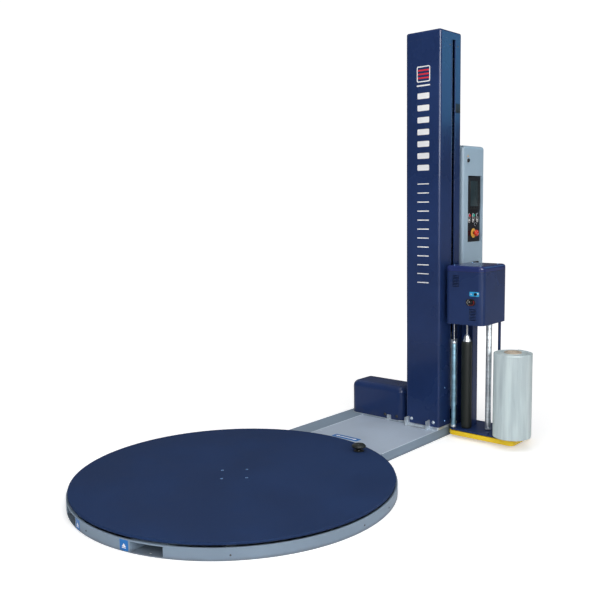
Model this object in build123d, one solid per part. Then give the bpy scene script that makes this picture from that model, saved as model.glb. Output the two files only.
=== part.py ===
from build123d import *
import math
import os

# Turntable pallet wrapper, in millimetres.
# The origin is the turntable's axis at floor level. +X runs to the mast, +Y to the drive cover, +Z up.

# ---------------------------------------------------------------- driving dimensions
# turntable
table_d = 1650.0
table_t = 12.0
table_gap = 10.0             # between the ring's top and the disc
ring_overhang = 7.0          # base ring outside the disc's edge
ring_wall = 8.0
ring_h = 56.0
pan_t = 5.0
hub_bolt_count = 4
hub_bolt_pcd = 178.0
hub_bolt_d = 10.0
hub_bolt_head_d = 16.0
hub_bolt_head_h = 5.0
hub_bolt_sink = 0.3          # head below the disc's top
hub_bolt_edge = 0.8          # chamfer round the head
post_d = 70.0
post_flange_d = 150.0
bush_wall = 8.0
hub_wall = 12.0

# fork pockets
pocket_y = 280.0
pocket_w = 152.0
pocket_lip = 5.0             # ring left above each pocket
pocket_wall = 4.0
pocket_far_x = 380.0
anchor_inset = 8.0           # from the ring's inner face to the anchor hole's edge
anchor_d = 14.0

# support wheels
wheel_d = 44.0
wheel_w = 28.0
wheel_axle_d = 12.0
wheel_inset = 125.0          # wheel circle inside the disc's edge
wheel_count = 4
cheek_t = 4.0

# beam between turntable and mast
beam_w = 730.0
beam_end_x = 1660.0
beam_wall = 5.0
cover_t = 4.0
cover_edge_y = 222.0         # seam of the removable cover on the +Y side

# chain drive
chain_pitch = 15.875
drive_teeth = 17
sprocket_t = 6.0
sprocket_z = 34.0
chain_t = 11.0
drive_x = 1505.0
drive_y = 120.0
drive_shaft_d = 25.0
gearbox_w = 120.0
gearbox_h = 110.0
motor_d = 110.0
motor_l = 125.0
motor_cover_x = 1400.0
motor_cover_l = 210.0
motor_cover_w = 415.0
motor_cover_h = 219.0
motor_cover_r = 46.0
motor_cover_wall = 3.0

# mast
mast_x = 1500.0
mast_w = 240.0
mast_wall = 4.0
mast_edge_r = 15.0
mast_plate_t = 14.0
cap_h = 47.0
cap_edge_r = 16.0
slot_w = 40.0
slot_x = 1528.0

# lift
carriage_travel = 1600.0
rail_w = 30.0
rail_t = 12.0
shoe_w = 54.0
shoe_l = 44.0
shoe_h = 60.0
slider_h = 490.0
slider_t = 10.0
web_t = 18.0
belt_w = 50.0
belt_t = 3.0
pulley_r = 30.0
pulley_shaft_d = 20.0
bearing_block = 46.0

# film carriage
carriage_gap = 15.0          # from the mast's face to the column
column_w = 108.0
column_d = 58.0
column_t = 4.0
column_x = 1568.0
housing_x = 1415.0
housing_l = 302.0
housing_w = 255.0
housing_low_z = 718.0
housing_h = 316.0
housing_wall = 3.0
housing_floor = 8.0
housing_edge_r = 35.0
vent_w = 44.0
vent_slot_h = 4.0
vent_pitch = 9.0
upper_vent = (75.0, 225.0, 8)     # from the housing's +Y side, above its floor, number of slots
lower_vent = (188.0, 30.0, 8)
knob_inset = (176.0, 137.0)       # tension knob, from the housing's +Y side and above its floor
lid_h = 34.0
lid_edge_r = 18.0
plate_x = 1460.0
plate_l = 256.0
plate_w = 430.0
plate_z = 52.0
plate_t = 8.0
plate_edge_r = 32.0
bumper_low_z = 18.0
bumper_wall = 4.0
bumper_travel = 3.5
front_idler_d = 28.0
front_idler_xy = (1480.0, -409.0)
front_idler_top_z = 600.0
rubber_roller_d = 64.0
rubber_roller_xy = (1521.0, -474.0)
rubber_roller_top_z = 600.0
rear_idler_d = 36.0
rear_idler_inset = (145.0, 34.0)
strut_d = 18.0
strut_inset = (27.0, 33.0)
idler_shaft_d = 8.0
roller_shaft_d = 12.0
brake_d = 110.0
brake_h = 60.0

# film reel
reel_inset = (50.0, 31.0)
film_d = 222.0
film_h = 500.0
core_d = 98.0
core_bore_d = 76.0
core_h = 506.0
spindle_flange_t = 6.0
spindle_flange_d = 130.0

# film-end clamp on the turntable
clamp_inset = 76.0
clamp_angle = -21.0
clamp_d = 80.0
clamp_stem_d = 12.0
clamp_grip_h = 26.0          # length of the stem inside the knob

# electrical cabinet
cabinet_gap = 48.0           # from the mast's back to the cabinet's side
cabinet_w = 267.0
cabinet_d = 185.0
cabinet_low_z = 940.0
cabinet_h = 850.0
cabinet_wall = 3.0
front_t = 30.0
front_edge_r = 22.0
recess_left = 60.0
recess_right = 30.0
recess_drop = 185.0          # below the cabinet's top
recess_h = 415.0
recess_depth = 14.0
panel_t = 3.0
hmi_h = 204.0
hmi_t = 9.0
button_d = 18.0
button_drop = 248.0          # below the recess's top
button_travel = 3.0
button_stem_d = 10.0
legend_w = 26.0
legend_h = 58.0
legend_t = 2.0
selector_d = 18.0
estop_d = 40.0
estop_stem_d = 16.0
estop_travel = 5.0
switch_w = 76.0
lock_d = 24.0

# clearances
run_gap = 0.05               # shaft in a bore, radial
touch_gap = 0.3              # curved faces that pass each other
seam_gap = 1.0               # between panels of one body
bolt_gap = 0.2               # bolt in its hole, radial

# ---------------------------------------------------------------- derived sizes
table_r = table_d / 2
table_low_z = ring_h + table_gap
table_top_z = table_low_z + table_t
bolt_seat_z = table_top_z - hub_bolt_sink - hub_bolt_head_h
ring_r = table_r + ring_overhang
ring_inner_r = ring_r - ring_wall
post_r = post_d / 2
bush_in_r = post_r + run_gap
bush_out_r = bush_in_r + bush_wall
hub_r = bush_out_r + hub_wall
hub_flange_r = hub_bolt_pcd / 2 + 22
hub_flange_t = 8.0
hub_low_z = pan_t + 19
post_top_z = table_low_z - 6
pocket_low_z = pan_t
pocket_top_z = ring_h - pocket_lip
anchor_reach_y = pocket_y + anchor_d / 2
anchor_x = anchor_inset + anchor_d / 2 - math.sqrt(ring_inner_r ** 2 - anchor_reach_y ** 2)
wheel_circle_r = table_r - wheel_inset
clamp_r = table_r - clamp_inset
tunnel_half = pocket_w / 2 + pocket_wall
pocket_clear_y = pocket_y - tunnel_half          # free half-width between the two tunnels

chain_margin = 3.0
tooth_h = 4.5
table_teeth = int(2 * math.pi * (pocket_clear_y - chain_margin - chain_t - tooth_h) / chain_pitch)
table_pitch_r = chain_pitch / (2 * math.sin(math.pi / table_teeth))
drive_pitch_r = chain_pitch / (2 * math.sin(math.pi / drive_teeth))

beam_half = beam_w / 2
deck_z = ring_h
mast_low_z = deck_z + mast_plate_t
mast_half = mast_w / 2
mast_y = mast_half - beam_half                   # the mast stands flush with the beam's edge
mast_front_x = mast_x - mast_half
mast_back_x = mast_x + mast_half
mast_face_y = mast_y - mast_half
mast_inner_half = mast_half - mast_wall

rail_y = mast_face_y + 50
slider_back_y = rail_y - rail_w / 2
lift_bottom_z = mast_low_z + pulley_r + 10
rail_low_z = lift_bottom_z + bearing_block / 2 + 3
slider_low_z = rail_low_z + 14
slider_top_z = slider_low_z + slider_h
rail_high_z = slider_top_z + carriage_travel + 64
lift_top_z = rail_high_z + bearing_block / 2 + 3
cap_low_z = lift_top_z + bearing_block / 2 + 43
mast_top_z = cap_low_z + cap_h
belt_front_y = slider_back_y + 15
pulley_y = belt_front_y + pulley_r
pulley_shaft_r = pulley_shaft_d / 2

column_y = mast_face_y - carriage_gap
housing_y = column_y
plate_y = column_y - 3
plate_top_z = plate_z + plate_t
housing_top_z = housing_low_z + housing_h
rear_idler_xy = (housing_x + rear_idler_inset[0], housing_y - housing_w + rear_idler_inset[1])
strut_xy = (housing_x + housing_l - strut_inset[0], housing_y - housing_w + strut_inset[1])
reel_xy = (plate_x + reel_inset[0], plate_y - plate_w + reel_inset[1])
film_low_z = plate_top_z + spindle_flange_t + 1

cabinet_x = mast_back_x + cabinet_gap
front_y = mast_face_y + 10                       # outer face of the cabinet's front cover
body_y = front_y + front_t
panel_y = front_y + recess_depth
recess_x = cabinet_x + recess_left
recess_w = cabinet_w - recess_left - recess_right
recess_low_z = cabinet_low_z + cabinet_h - recess_drop - recess_h
panel_cx = recess_x + recess_w / 2
button_z = recess_low_z + recess_h - button_drop
button_pitch = (recess_w - 24) / 3
hmi_w = recess_w - 31
hmi_top_z = recess_low_z + recess_h - 7
hmi_low_z = hmi_top_z - hmi_h
estop_x = panel_cx + 4
estop_z = recess_low_z + 55
selector_x = panel_cx + button_pitch / 2
selector_z = button_z - 57
switch_x = cabinet_x + 0.6 * cabinet_w
switch_z = cabinet_low_z + 86
lock_x = cabinet_x + 56
lock_z = cabinet_low_z + cabinet_h - 91


# ---------------------------------------------------------------- small builders
def block(x0, x1, y0, y1, z0, z1):
    """Box between two corners."""
    return Pos((x0 + x1) / 2, (y0 + y1) / 2, (z0 + z1) / 2) * Box(x1 - x0, y1 - y0, z1 - z0)


def rod(x, y, z0, z1, r):
    """Upright cylinder."""
    return Pos(x, y, (z0 + z1) / 2) * Cylinder(r, z1 - z0)


def rod_x(x0, x1, y, z, r):
    """Cylinder along X."""
    return Pos((x0 + x1) / 2, y, z) * Rot(0, 90, 0) * Cylinder(r, x1 - x0)


def rod_y(x, y0, y1, z, r):
    """Cylinder along Y."""
    return Pos(x, (y0 + y1) / 2, z) * Rot(90, 0, 0) * Cylinder(r, y1 - y0)


def tube(x, y, z0, z1, r_out, r_in):
    """Upright tube."""
    return rod(x, y, z0, z1, r_out) - rod(x, y, z0 - 1, z1 + 1, r_in)


def rounded_block(x0, x1, y0, y1, z0, z1, r):
    """Box with rounded upright edges; the radius is limited by the box's own width."""
    width, depth = x1 - x0, y1 - y0
    radius = min(r, 0.48 * width, 0.48 * depth)
    outline = Pos((x0 + x1) / 2, (y0 + y1) / 2, z0) * RectangleRounded(width, depth, radius)
    return extrude(outline, z1 - z0)


def domed_block(x0, x1, y0, y1, z0, z1, r_side, r_top):
    """Rounded box whose top edge is rounded as well."""
    body = rounded_block(x0, x1, y0, y1, z0, z1, r_side)
    radius = min(r_top, 0.9 * r_side, 0.6 * (z1 - z0))
    return fillet(body.faces().sort_by(Axis.Z)[-1].edges(), radius)


def shell_block(x0, x1, y0, y1, z0, z1, r_side, r_top, wall):
    """Open-bottomed shell with rounded edges."""
    outer = domed_block(x0, x1, y0, y1, z0, z1, r_side, r_top)
    inner = domed_block(x0 + wall, x1 - wall, y0 + wall, y1 - wall, z0 - wall, z1 - wall,
                        r_side - wall, r_top - wall)
    return outer - inner


def save(shape, name):
    """Write one node."""
    export_step(shape if isinstance(shape, Compound) else Compound(children=[shape]), "parts/" + name + ".step")


def group(shapes):
    """Separate solids in one node."""
    return Compound(children=list(shapes))


# ---------------------------------------------------------------- base
def base_ring():
    ring = tube(0, 0, 0, ring_h, ring_r, ring_inner_r)
    for side in (-1, 1):
        y0, y1 = side * pocket_y - pocket_w / 2, side * pocket_y + pocket_w / 2
        ring -= block(-ring_r - 1, 0, y0, y1, pocket_low_z, pocket_top_z)
    inner_half = beam_half - beam_wall
    ring -= block(0, ring_r + 1, -inner_half, inner_half, pan_t, ring_h + 1)
    return ring


def base_pan():
    pan = rod(0, 0, 0, pan_t, ring_inner_r)
    for side in (-1, 1):
        pan -= rod(anchor_x, side * pocket_y, -1, pan_t + 1, anchor_d / 2)
    return pan


def fork_tunnels():
    tunnels = []
    rim = rod(0, 0, 0, ring_h, ring_inner_r)
    for side in (-1, 1):
        yc = side * pocket_y
        outer = block(-ring_r, pocket_far_x, yc - tunnel_half, yc + tunnel_half,
                      pan_t, pocket_top_z + pocket_wall)
        inner = block(-ring_r - 1, pocket_far_x + 1, yc - pocket_w / 2, yc + pocket_w / 2,
                      pan_t - 1, pocket_top_z)
        tunnels.append((outer - inner) & rim)
    return group(tunnels)


def beam_frame():
    """Tray with two side walls, an end wall, a fixed deck under the mast and a deck strip on the +Y side."""
    tray = block(0, beam_end_x, -beam_half, beam_half, 0, deck_z)
    inside = beam_half - beam_wall
    tray -= block(-1, beam_end_x - beam_wall, -inside, inside, pan_t, deck_z - cover_t)
    tray -= block(-1, mast_front_x - seam_gap, -inside, cover_edge_y, pan_t, deck_z + 1)
    tray -= rod(0, 0, -1, deck_z + 1, ring_r)
    tray -= rod(drive_x, drive_y, pan_t + 1, deck_z + 1, drive_shaft_d / 2 + 15)
    return tray


def beam_cover():
    """Removable cover plate, resting between the beam's own edges."""
    inside = beam_half - beam_wall
    plate = block(0, mast_front_x - 2 * seam_gap, -inside + seam_gap, cover_edge_y - seam_gap,
                  deck_z - cover_t, deck_z)
    plate -= rod(0, 0, 0, deck_z + 1, ring_r + seam_gap)
    for y in (-inside + 40, cover_edge_y - 12):
        plate += block(ring_r + 40, mast_front_x - 40, y - 3, y + 3, pan_t, deck_z - cover_t)
    return plate


def pivot_post():
    post = rod(0, 0, pan_t, post_top_z, post_r)
    post += rod(0, 0, pan_t, pan_t + 12, post_flange_d / 2)
    return fillet(post.edges().filter_by(GeomType.CIRCLE).sort_by(Axis.Z)[-1], 2)


# ---------------------------------------------------------------- turntable
def table_disc():
    disc = rod(0, 0, table_low_z, table_top_z, table_r)
    disc = fillet(disc.faces().sort_by(Axis.Z)[-1].edges(), 3)
    for place in PolarLocations(hub_bolt_pcd / 2, hub_bolt_count):
        disc -= place * rod(0, 0, table_low_z - 1, table_top_z + 1, hub_bolt_d / 2 + bolt_gap)
        disc -= place * rod(0, 0, bolt_seat_z, table_top_z + 1, hub_bolt_head_d / 2 + bolt_gap)
    x, y = clamp_place()
    return disc - rod(x, y, table_low_z - 1, table_top_z + 1, clamp_stem_d / 2)


def table_hub():
    hub = rod(0, 0, table_low_z - hub_flange_t, table_low_z, hub_flange_r)
    hub += rod(0, 0, hub_low_z, table_low_z, hub_r)
    hub -= rod(0, 0, hub_low_z - 1, table_low_z + 1, bush_out_r)
    for place in PolarLocations(hub_bolt_pcd / 2, hub_bolt_count):
        hub -= place * rod(0, 0, hub_low_z, table_low_z + 1, hub_bolt_d / 2 + bolt_gap)
    return hub


def bearing_bush():
    return tube(0, 0, hub_low_z, table_low_z - hub_flange_t, bush_out_r, bush_in_r)


def sprocket(teeth, bore_r, hole_count=0):
    """Chain sprocket in the plane of the chain, centred on Z."""
    pitch_r = chain_pitch / (2 * math.sin(math.pi / teeth))
    root_r, tip_r = pitch_r - tooth_h, pitch_r + tooth_h
    step = 2 * math.pi / teeth
    outline = []
    for k in range(teeth):
        for share, radius in ((-0.32, root_r), (-0.12, tip_r), (0.12, tip_r), (0.32, root_r)):
            angle = (k + share) * step
            outline.append((radius * math.cos(angle), radius * math.sin(angle)))
    plate = extrude(make_face(Polyline(*outline, close=True)), sprocket_t)
    plate -= Pos(0, 0, sprocket_t / 2) * Cylinder(bore_r, sprocket_t + 2)
    for place in PolarLocations((bore_r + root_r) / 2, hole_count) if hole_count else []:
        plate -= place * Cylinder((root_r - bore_r) * 0.22, 4 * sprocket_t)
    return Pos(0, 0, sprocket_z - sprocket_t / 2) * plate


def table_sprocket():
    return sprocket(table_teeth, hub_r, 8)


def table_bolts():
    """Cap screws through disc and hub, with their heads just below the disc's top."""
    bolts = []
    for place in PolarLocations(hub_bolt_pcd / 2, hub_bolt_count):
        head = rod(0, 0, bolt_seat_z, bolt_seat_z + hub_bolt_head_h, hub_bolt_head_d / 2)
        head = chamfer(head.faces().sort_by(Axis.Z)[-1].edges(), hub_bolt_edge)
        bolts.append(place * (head + rod(0, 0, table_low_z - hub_flange_t, bolt_seat_z, hub_bolt_d / 2)))
    return group(bolts)


def clamp_place():
    angle = math.radians(clamp_angle)
    return clamp_r * math.cos(angle), clamp_r * math.sin(angle)


clamp_low_z = table_top_z + 6.3
clamp_h = 35.0
clamp_stem_top_z = clamp_low_z + clamp_grip_h


def clamp_stem():
    x, y = clamp_place()
    stem = rod(x, y, table_low_z - 5, clamp_stem_top_z, clamp_stem_d / 2)
    return stem + rod(x, y, table_low_z - 5, table_low_z, clamp_stem_d)


def clamp_knob():
    x, y = clamp_place()
    knob = rod(x, y, clamp_low_z, clamp_low_z + clamp_h, clamp_d / 2)
    knob = fillet(knob.faces().sort_by(Axis.Z)[-1].edges(), 11)
    knob = chamfer(knob.faces().sort_by(Axis.Z)[0].edges(), 4)
    return knob - rod(x, y, clamp_low_z - 1, clamp_stem_top_z + 2, clamp_stem_d / 2 + run_gap)


# ---------------------------------------------------------------- support wheels
wheel_axle_z = table_low_z - touch_gap - wheel_d / 2


def wheel_angles():
    return [360 / wheel_count * (k + 0.5) for k in range(wheel_count)]


def wheel_brackets():
    """Each bracket is a U of sheet with its axle welded through both cheeks."""
    reach = wheel_d / 2
    gap = wheel_w / 2 + 1
    cheek_top_z = table_low_z - 8
    brackets = []
    for angle in wheel_angles():
        turn = Rot(0, 0, angle)
        base = block(wheel_circle_r - gap - cheek_t, wheel_circle_r + gap + cheek_t,
                     -reach, reach, pan_t, pan_t + cheek_t)
        for side in (-1, 1):
            x = wheel_circle_r + side * (gap + cheek_t / 2)
            base += block(x - cheek_t / 2, x + cheek_t / 2, -reach, reach, pan_t, cheek_top_z)
        base += rod_x(wheel_circle_r - gap - cheek_t, wheel_circle_r + gap + cheek_t, 0,
                      wheel_axle_z, wheel_axle_d / 2)
        brackets.append(turn * base)
    return group(brackets)


def support_wheel(angle):
    half = wheel_w / 2
    wheel = rod_x(wheel_circle_r - half, wheel_circle_r + half, 0, wheel_axle_z, wheel_d / 2)
    wheel = fillet(wheel.edges().filter_by(GeomType.CIRCLE), 2)
    wheel -= rod_x(wheel_circle_r - half - 1, wheel_circle_r + half + 1, 0, wheel_axle_z,
                   wheel_axle_d / 2 + run_gap)
    return Rot(0, 0, angle) * wheel


# ---------------------------------------------------------------- chain drive
def drive_chain():
    """Closed loop in the sprockets' plane, standing just outside the tooth tips."""
    table_in = table_pitch_r + tooth_h + touch_gap
    drive_in = drive_pitch_r + tooth_h + touch_gap
    span = math.hypot(drive_x, drive_y)
    heading = math.degrees(math.atan2(drive_y, drive_x))

    def loop(extra):
        """Convex outline round both sprockets."""
        r1, r2 = table_in + extra, drive_in + extra
        lean = math.acos((r1 - r2) / span)
        cos_l, sin_l = math.cos(lean), math.sin(lean)
        band = make_face(Polyline((r1 * cos_l, r1 * sin_l), (span + r2 * cos_l, r2 * sin_l),
                                  (span + r2 * cos_l, -r2 * sin_l), (r1 * cos_l, -r1 * sin_l), close=True))
        return band + Circle(r1) + Pos(span, 0) * Circle(r2)

    outline = loop(chain_t) - loop(0)
    return Pos(0, 0, sprocket_z - 4) * Rot(0, 0, heading) * extrude(outline, 8)


def drive_sprocket():
    shaft = rod(0, 0, pan_t + 12, deck_z + gearbox_h + 6, drive_shaft_d / 2)
    wheel = sprocket(drive_teeth, drive_shaft_d / 2 - 0.5)
    boss = rod(0, 0, sprocket_z + sprocket_t / 2, sprocket_z + sprocket_t / 2 + 12, drive_shaft_d / 2 + 6)
    return Pos(drive_x, drive_y, 0) * (shaft + wheel + boss)


def drive_gearmotor():
    half = gearbox_w / 2
    low = deck_z
    box = rounded_block(drive_x - half, drive_x + half, drive_y - half, drive_y + half,
                        low, low + gearbox_h, 14)
    box -= rod(drive_x, drive_y, low - 1, low + gearbox_h + 1, drive_shaft_d / 2 + run_gap)
    motor_z = low + motor_d / 2 + 4
    start = drive_y + half
    motor = rod_y(drive_x, start, start + motor_l, motor_z, motor_d / 2)
    for k in range(9):
        y = start + 14 + k * 11
        motor += rod_y(drive_x, y, y + 4, motor_z, motor_d / 2 + 3)
    return box + motor


def motor_cover():
    return shell_block(motor_cover_x, motor_cover_x + motor_cover_l, motor_cover_y0, motor_cover_y1,
                       deck_z, deck_z + motor_cover_h, motor_cover_r, motor_cover_r, motor_cover_wall)


motor_cover_y0 = mast_y + mast_half + 38
motor_cover_y1 = motor_cover_y0 + motor_cover_w


# ---------------------------------------------------------------- mast
def mast_column():
    """Folded profile, open to the carriage along its whole height."""
    column = rounded_block(mast_front_x, mast_back_x, mast_face_y, mast_y + mast_half,
                           mast_low_z, cap_low_z, mast_edge_r)
    inner = mast_inner_half
    column -= rounded_block(mast_x - inner, mast_x + inner, mast_y - inner, mast_y + inner,
                            mast_low_z - 1, cap_low_z + 1, mast_edge_r - mast_wall)
    return column - block(slot_x - slot_w / 2, slot_x + slot_w / 2, mast_face_y - 1,
                          mast_face_y + mast_wall + 1, mast_low_z - 1, cap_low_z + 1)


def mast_cap():
    return shell_block(mast_front_x, mast_back_x, mast_face_y, mast_y + mast_half,
                       cap_low_z, mast_top_z, mast_edge_r, cap_edge_r, mast_wall)


def mast_base_plate():
    plate = block(mast_front_x - 12, mast_back_x + 14, mast_face_y, mast_y + mast_half + 14,
                  deck_z, mast_low_z)
    return chamfer(plate.edges().filter_by(Axis.Z), 6)


bracket_y = (mast_y - 57, mast_y + 101)
bracket_bolt_z = mast_low_z + 28


def foot_brackets():
    """Galvanised strap in front of the mast with its two ends bent up, and a hook for the drive cover."""
    x0, x1, t = mast_front_x - 45, mast_front_x - 12, 4
    strap = block(x0, x1, bracket_y[0], bracket_y[1], deck_z, deck_z + t)
    for y in (bracket_y[0], bracket_y[1] - t):
        strap += block(x0, x1, y, y + t, deck_z, bracket_bolt_z + 12)
        flag_y = y + 2 * t if y == bracket_y[0] else y - t
        low_y, high_y = min(y, flag_y), max(y + t, flag_y)
        strap += block(x1 - t, mast_front_x, low_y, high_y, mast_low_z, bracket_bolt_z + 12)
    hook_y = motor_cover_y0 + 90
    hook = block(motor_cover_x - 24, motor_cover_x, hook_y, hook_y + 30, deck_z, deck_z + t)
    hook += block(motor_cover_x - t, motor_cover_x, hook_y, hook_y + 30, deck_z, deck_z + 30)
    return group([strap, hook])


def foot_bolt(x, y, z):
    """Hexagon head pointing along -X."""
    hexagon = RegularPolygon(8, 6)
    return Pos(x, y, z) * Rot(0, -90, 0) * extrude(hexagon, 7)


def foot_bolts():
    bolts = [foot_bolt(mast_front_x, y - 24, bracket_bolt_z) for y in bracket_y]
    bolts += [foot_bolt(motor_cover_x, motor_cover_y0 + motor_cover_r + dy, deck_z + 28) for dy in (0, 90)]
    return group(bolts)


# ---------------------------------------------------------------- lift
def guide_rails():
    rails = []
    for side in (-1, 1):
        wall_x = mast_x + side * mast_inner_half
        x0, x1 = sorted((wall_x, wall_x - side * rail_t))
        rails.append(block(x0, x1, rail_y - rail_w / 2, rail_y + rail_w / 2, rail_low_z, rail_high_z))
    return group(rails)


def guide_shoes():
    shoes = []
    for z0 in (slider_low_z, slider_top_z - shoe_h):
        for side in (-1, 1):
            wall_x = mast_x + side * mast_inner_half
            near, far = wall_x - side * 2, wall_x - side * (2 + shoe_l)
            x0, x1 = sorted((near, far))
            shoe = block(x0, x1, rail_y - shoe_w / 2, rail_y + shoe_w / 2, z0, z0 + shoe_h)
            g0, g1 = sorted((wall_x, wall_x - side * (rail_t + touch_gap)))
            half = rail_w / 2 + touch_gap
            shoes.append(shoe - block(g0, g1, rail_y - half, rail_y + half, z0 - 1, z0 + shoe_h + 1))
    return group(shoes)


def slider_plate():
    """Plate between the shoes, with a web through the mast's slot and a flange on the column."""
    reach = mast_inner_half - 2 - shoe_l
    plate = block(mast_x - reach, mast_x + reach, slider_back_y - slider_t, slider_back_y,
                  slider_low_z, slider_top_z)
    z0, z1 = slider_low_z + 30, slider_top_z - 40
    plate += block(slot_x - web_t / 2, slot_x + web_t / 2, column_y, slider_back_y - slider_t, z0, z1)
    plate += block(slot_x - web_t / 2, column_x + column_d, column_y, column_y + 8, z0, z1)
    middle_z = (slider_low_z + slider_top_z) / 2
    plate += block(mast_x - belt_w / 2, mast_x + belt_w / 2, slider_back_y, belt_front_y - belt_t - 1,
                   middle_z - 20, middle_z + 20)
    return plate


def lift_belt():
    """Flat belt round the two pulleys, centred on the mast."""
    centre_z = (lift_top_z + lift_bottom_z) / 2
    span = lift_top_z - lift_bottom_z
    r_in = pulley_r + touch_gap
    r_out = r_in + belt_t
    outline = SlotCenterToCenter(span, 2 * r_out) - SlotCenterToCenter(span, 2 * r_in)
    belt = extrude(outline, belt_w / 2, both=True)
    return Pos(mast_x, pulley_y + touch_gap, centre_z) * Rot(0, 90, 0) * belt


def lift_pulley(z):
    y = pulley_y + touch_gap
    half = belt_w / 2
    wheel = rod_x(mast_x - half, mast_x + half, y, z, pulley_r)
    for side in (-1, 1):
        x0, x1 = sorted((mast_x + side * (half + 1), mast_x + side * (half + 4)))
        wheel += rod_x(x0, x1, y, z, pulley_r + 6)
        s0, s1 = sorted((mast_x + side * half, mast_x + side * (half + 1)))
        wheel += rod_x(s0, s1, y, z, pulley_r)
    reach = mast_inner_half - 4
    return wheel + rod_x(mast_x - reach, mast_x + reach, y, z, pulley_shaft_r)


def lift_drive():
    """Four bearing blocks on the mast's side walls, with the gearmotor on the upper shaft."""
    y = pulley_y + touch_gap
    half = bearing_block / 2
    pieces = []
    for z in (lift_bottom_z, lift_top_z):
        for side in (-1, 1):
            wall_x = mast_x + side * mast_inner_half
            deep = 2 * half if (z == lift_top_z and side == 1) else half
            x0, x1 = sorted((wall_x, wall_x - side * deep))
            bearing = block(x0, x1, y - half, y + half, z - half, z + half)
            bearing -= rod_x(x0 - 1, wall_x + 1 if side == 1 else x1 + 1, y, z, pulley_shaft_r + run_gap)
            pieces.append(bearing)
    motor_x = mast_x + mast_inner_half - half
    pieces[-1] += rod_y(motor_x, y + half, mast_y + mast_inner_half - 12, lift_top_z, half - 4)
    return group(pieces)


# ---------------------------------------------------------------- film carriage
def carriage_column():
    """Upright channel open to the front, with the thin strut beside it."""
    y0, y1 = column_y - column_w, column_y
    x1 = column_x + column_d
    channel = block(column_x, x1, y0, y1, plate_top_z, housing_low_z)
    channel -= block(column_x - 1, x1 - column_t, y0 + column_t, y1 - column_t,
                     plate_top_z - 1, housing_low_z + 1)
    strut = rod(*strut_xy, plate_top_z, housing_low_z, strut_d / 2)
    return group([channel, strut])


def housing_shell():
    x0, x1 = housing_x, housing_x + housing_l
    y0, y1 = housing_y - housing_w, housing_y
    shell = rounded_block(x0, x1, y0, y1, housing_low_z, housing_top_z, housing_edge_r)
    w = housing_wall
    shell -= rounded_block(x0 + w, x1 - w, y0 + w, y1 - w, housing_low_z + housing_floor,
                           housing_top_z + 1, housing_edge_r - w)
    for side_inset, low, count in (upper_vent, lower_vent):
        y_mid = y1 - side_inset
        for k in range(count):
            z = housing_low_z + low + vent_pitch * k
            shell -= block(x0 - 1, x0 + w + 1, y_mid - vent_w / 2, y_mid + vent_w / 2, z, z + vent_slot_h)
    shell -= rod(*rubber_roller_xy, housing_low_z - 1, housing_low_z + housing_floor + 1,
                 roller_shaft_d / 2 + run_gap)
    ky, kz = knob_place()
    return shell - rod_x(x0 - 1, x0 + w + 1, ky, kz, 5 + run_gap)


def housing_lid():
    x0, x1 = housing_x, housing_x + housing_l
    y0, y1 = housing_y - housing_w, housing_y
    return shell_block(x0, x1, y0, y1, housing_top_z, housing_top_z + lid_h,
                       housing_edge_r, lid_edge_r, housing_wall)


def knob_place():
    return housing_y - knob_inset[0], housing_low_z + knob_inset[1]


def tension_knob():
    y, z = knob_place()
    x = housing_x
    grip = rod_x(x - 15, x - 1, y, z, 13)
    grip = fillet(grip.edges().filter_by(GeomType.CIRCLE).sort_by(Axis.X)[0], 2)
    grip += block(x - 19, x - 14, y - 2.5, y + 2.5, z - 12, z + 12)
    return grip + rod_x(x - 1, x + 18, y, z, 5)


def bottom_plate():
    plate = rounded_block(plate_x, plate_x + plate_l, plate_y - plate_w, plate_y,
                          plate_z, plate_top_z, plate_edge_r)
    plate -= rod(*rubber_roller_xy, plate_z - 1, plate_top_z + 1, roller_shaft_d / 2 + run_gap)
    for x, y in bumper_pins():
        plate += rod(x, y, bumper_low_z + 12, plate_z, 4)
    bolt_x, bolt_y = plate_x + 20, reel_xy[1] + 136
    plate += rod(bolt_x, bolt_y, plate_top_z, plate_top_z + 6, 7)
    return plate


def bumper_pins():
    middle_x = plate_x + plate_l / 2
    return [(middle_x - 60, plate_y - 60), (middle_x - 60, plate_y - plate_w + 60),
            (middle_x + 70, plate_y - plate_w / 2)]


def bumper():
    """Foot guard: a tray under the bottom plate that lifts when something is below it."""
    out = 2.0
    x0, x1 = plate_x - out, plate_x + plate_l + out
    y0, y1 = plate_y - plate_w - out, plate_y + out
    top_z = plate_z - bumper_travel - 0.5
    tray = rounded_block(x0, x1, y0, y1, bumper_low_z, top_z, plate_edge_r + out)
    tray = fillet(tray.faces().sort_by(Axis.Z)[0].edges(), 5)
    w = bumper_wall
    tray -= rounded_block(x0 + w, x1 - w, y0 + w, y1 - w, bumper_low_z + 5, top_z + 1,
                          plate_edge_r + out - w)
    for x, y in bumper_pins():
        tray += rod(x, y, bumper_low_z + 5, top_z - 2, 9)
        tray -= rod(x, y, bumper_low_z + 7, top_z + 1, 4 + run_gap)
    return tray


def idler_shafts():
    shafts = [rod(x, y, plate_top_z, housing_low_z, idler_shaft_d / 2)
              for x, y in (front_idler_xy, rear_idler_xy)]
    return group(shafts)


def idler_roller(place, diameter, z0, z1):
    x, y = place
    roller = rod(x, y, z0, z1, diameter / 2)
    roller = chamfer(roller.edges().filter_by(GeomType.CIRCLE), 1)
    return roller - rod(x, y, z0 - 1, z1 + 1, idler_shaft_d / 2 + run_gap)


def front_idler_roller():
    return idler_roller(front_idler_xy, front_idler_d, plate_top_z + 3, front_idler_top_z)


def rear_idler_roller():
    return idler_roller(rear_idler_xy, rear_idler_d, plate_top_z + 3, housing_low_z - 3)


brake_low_z = housing_low_z + housing_floor


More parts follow.
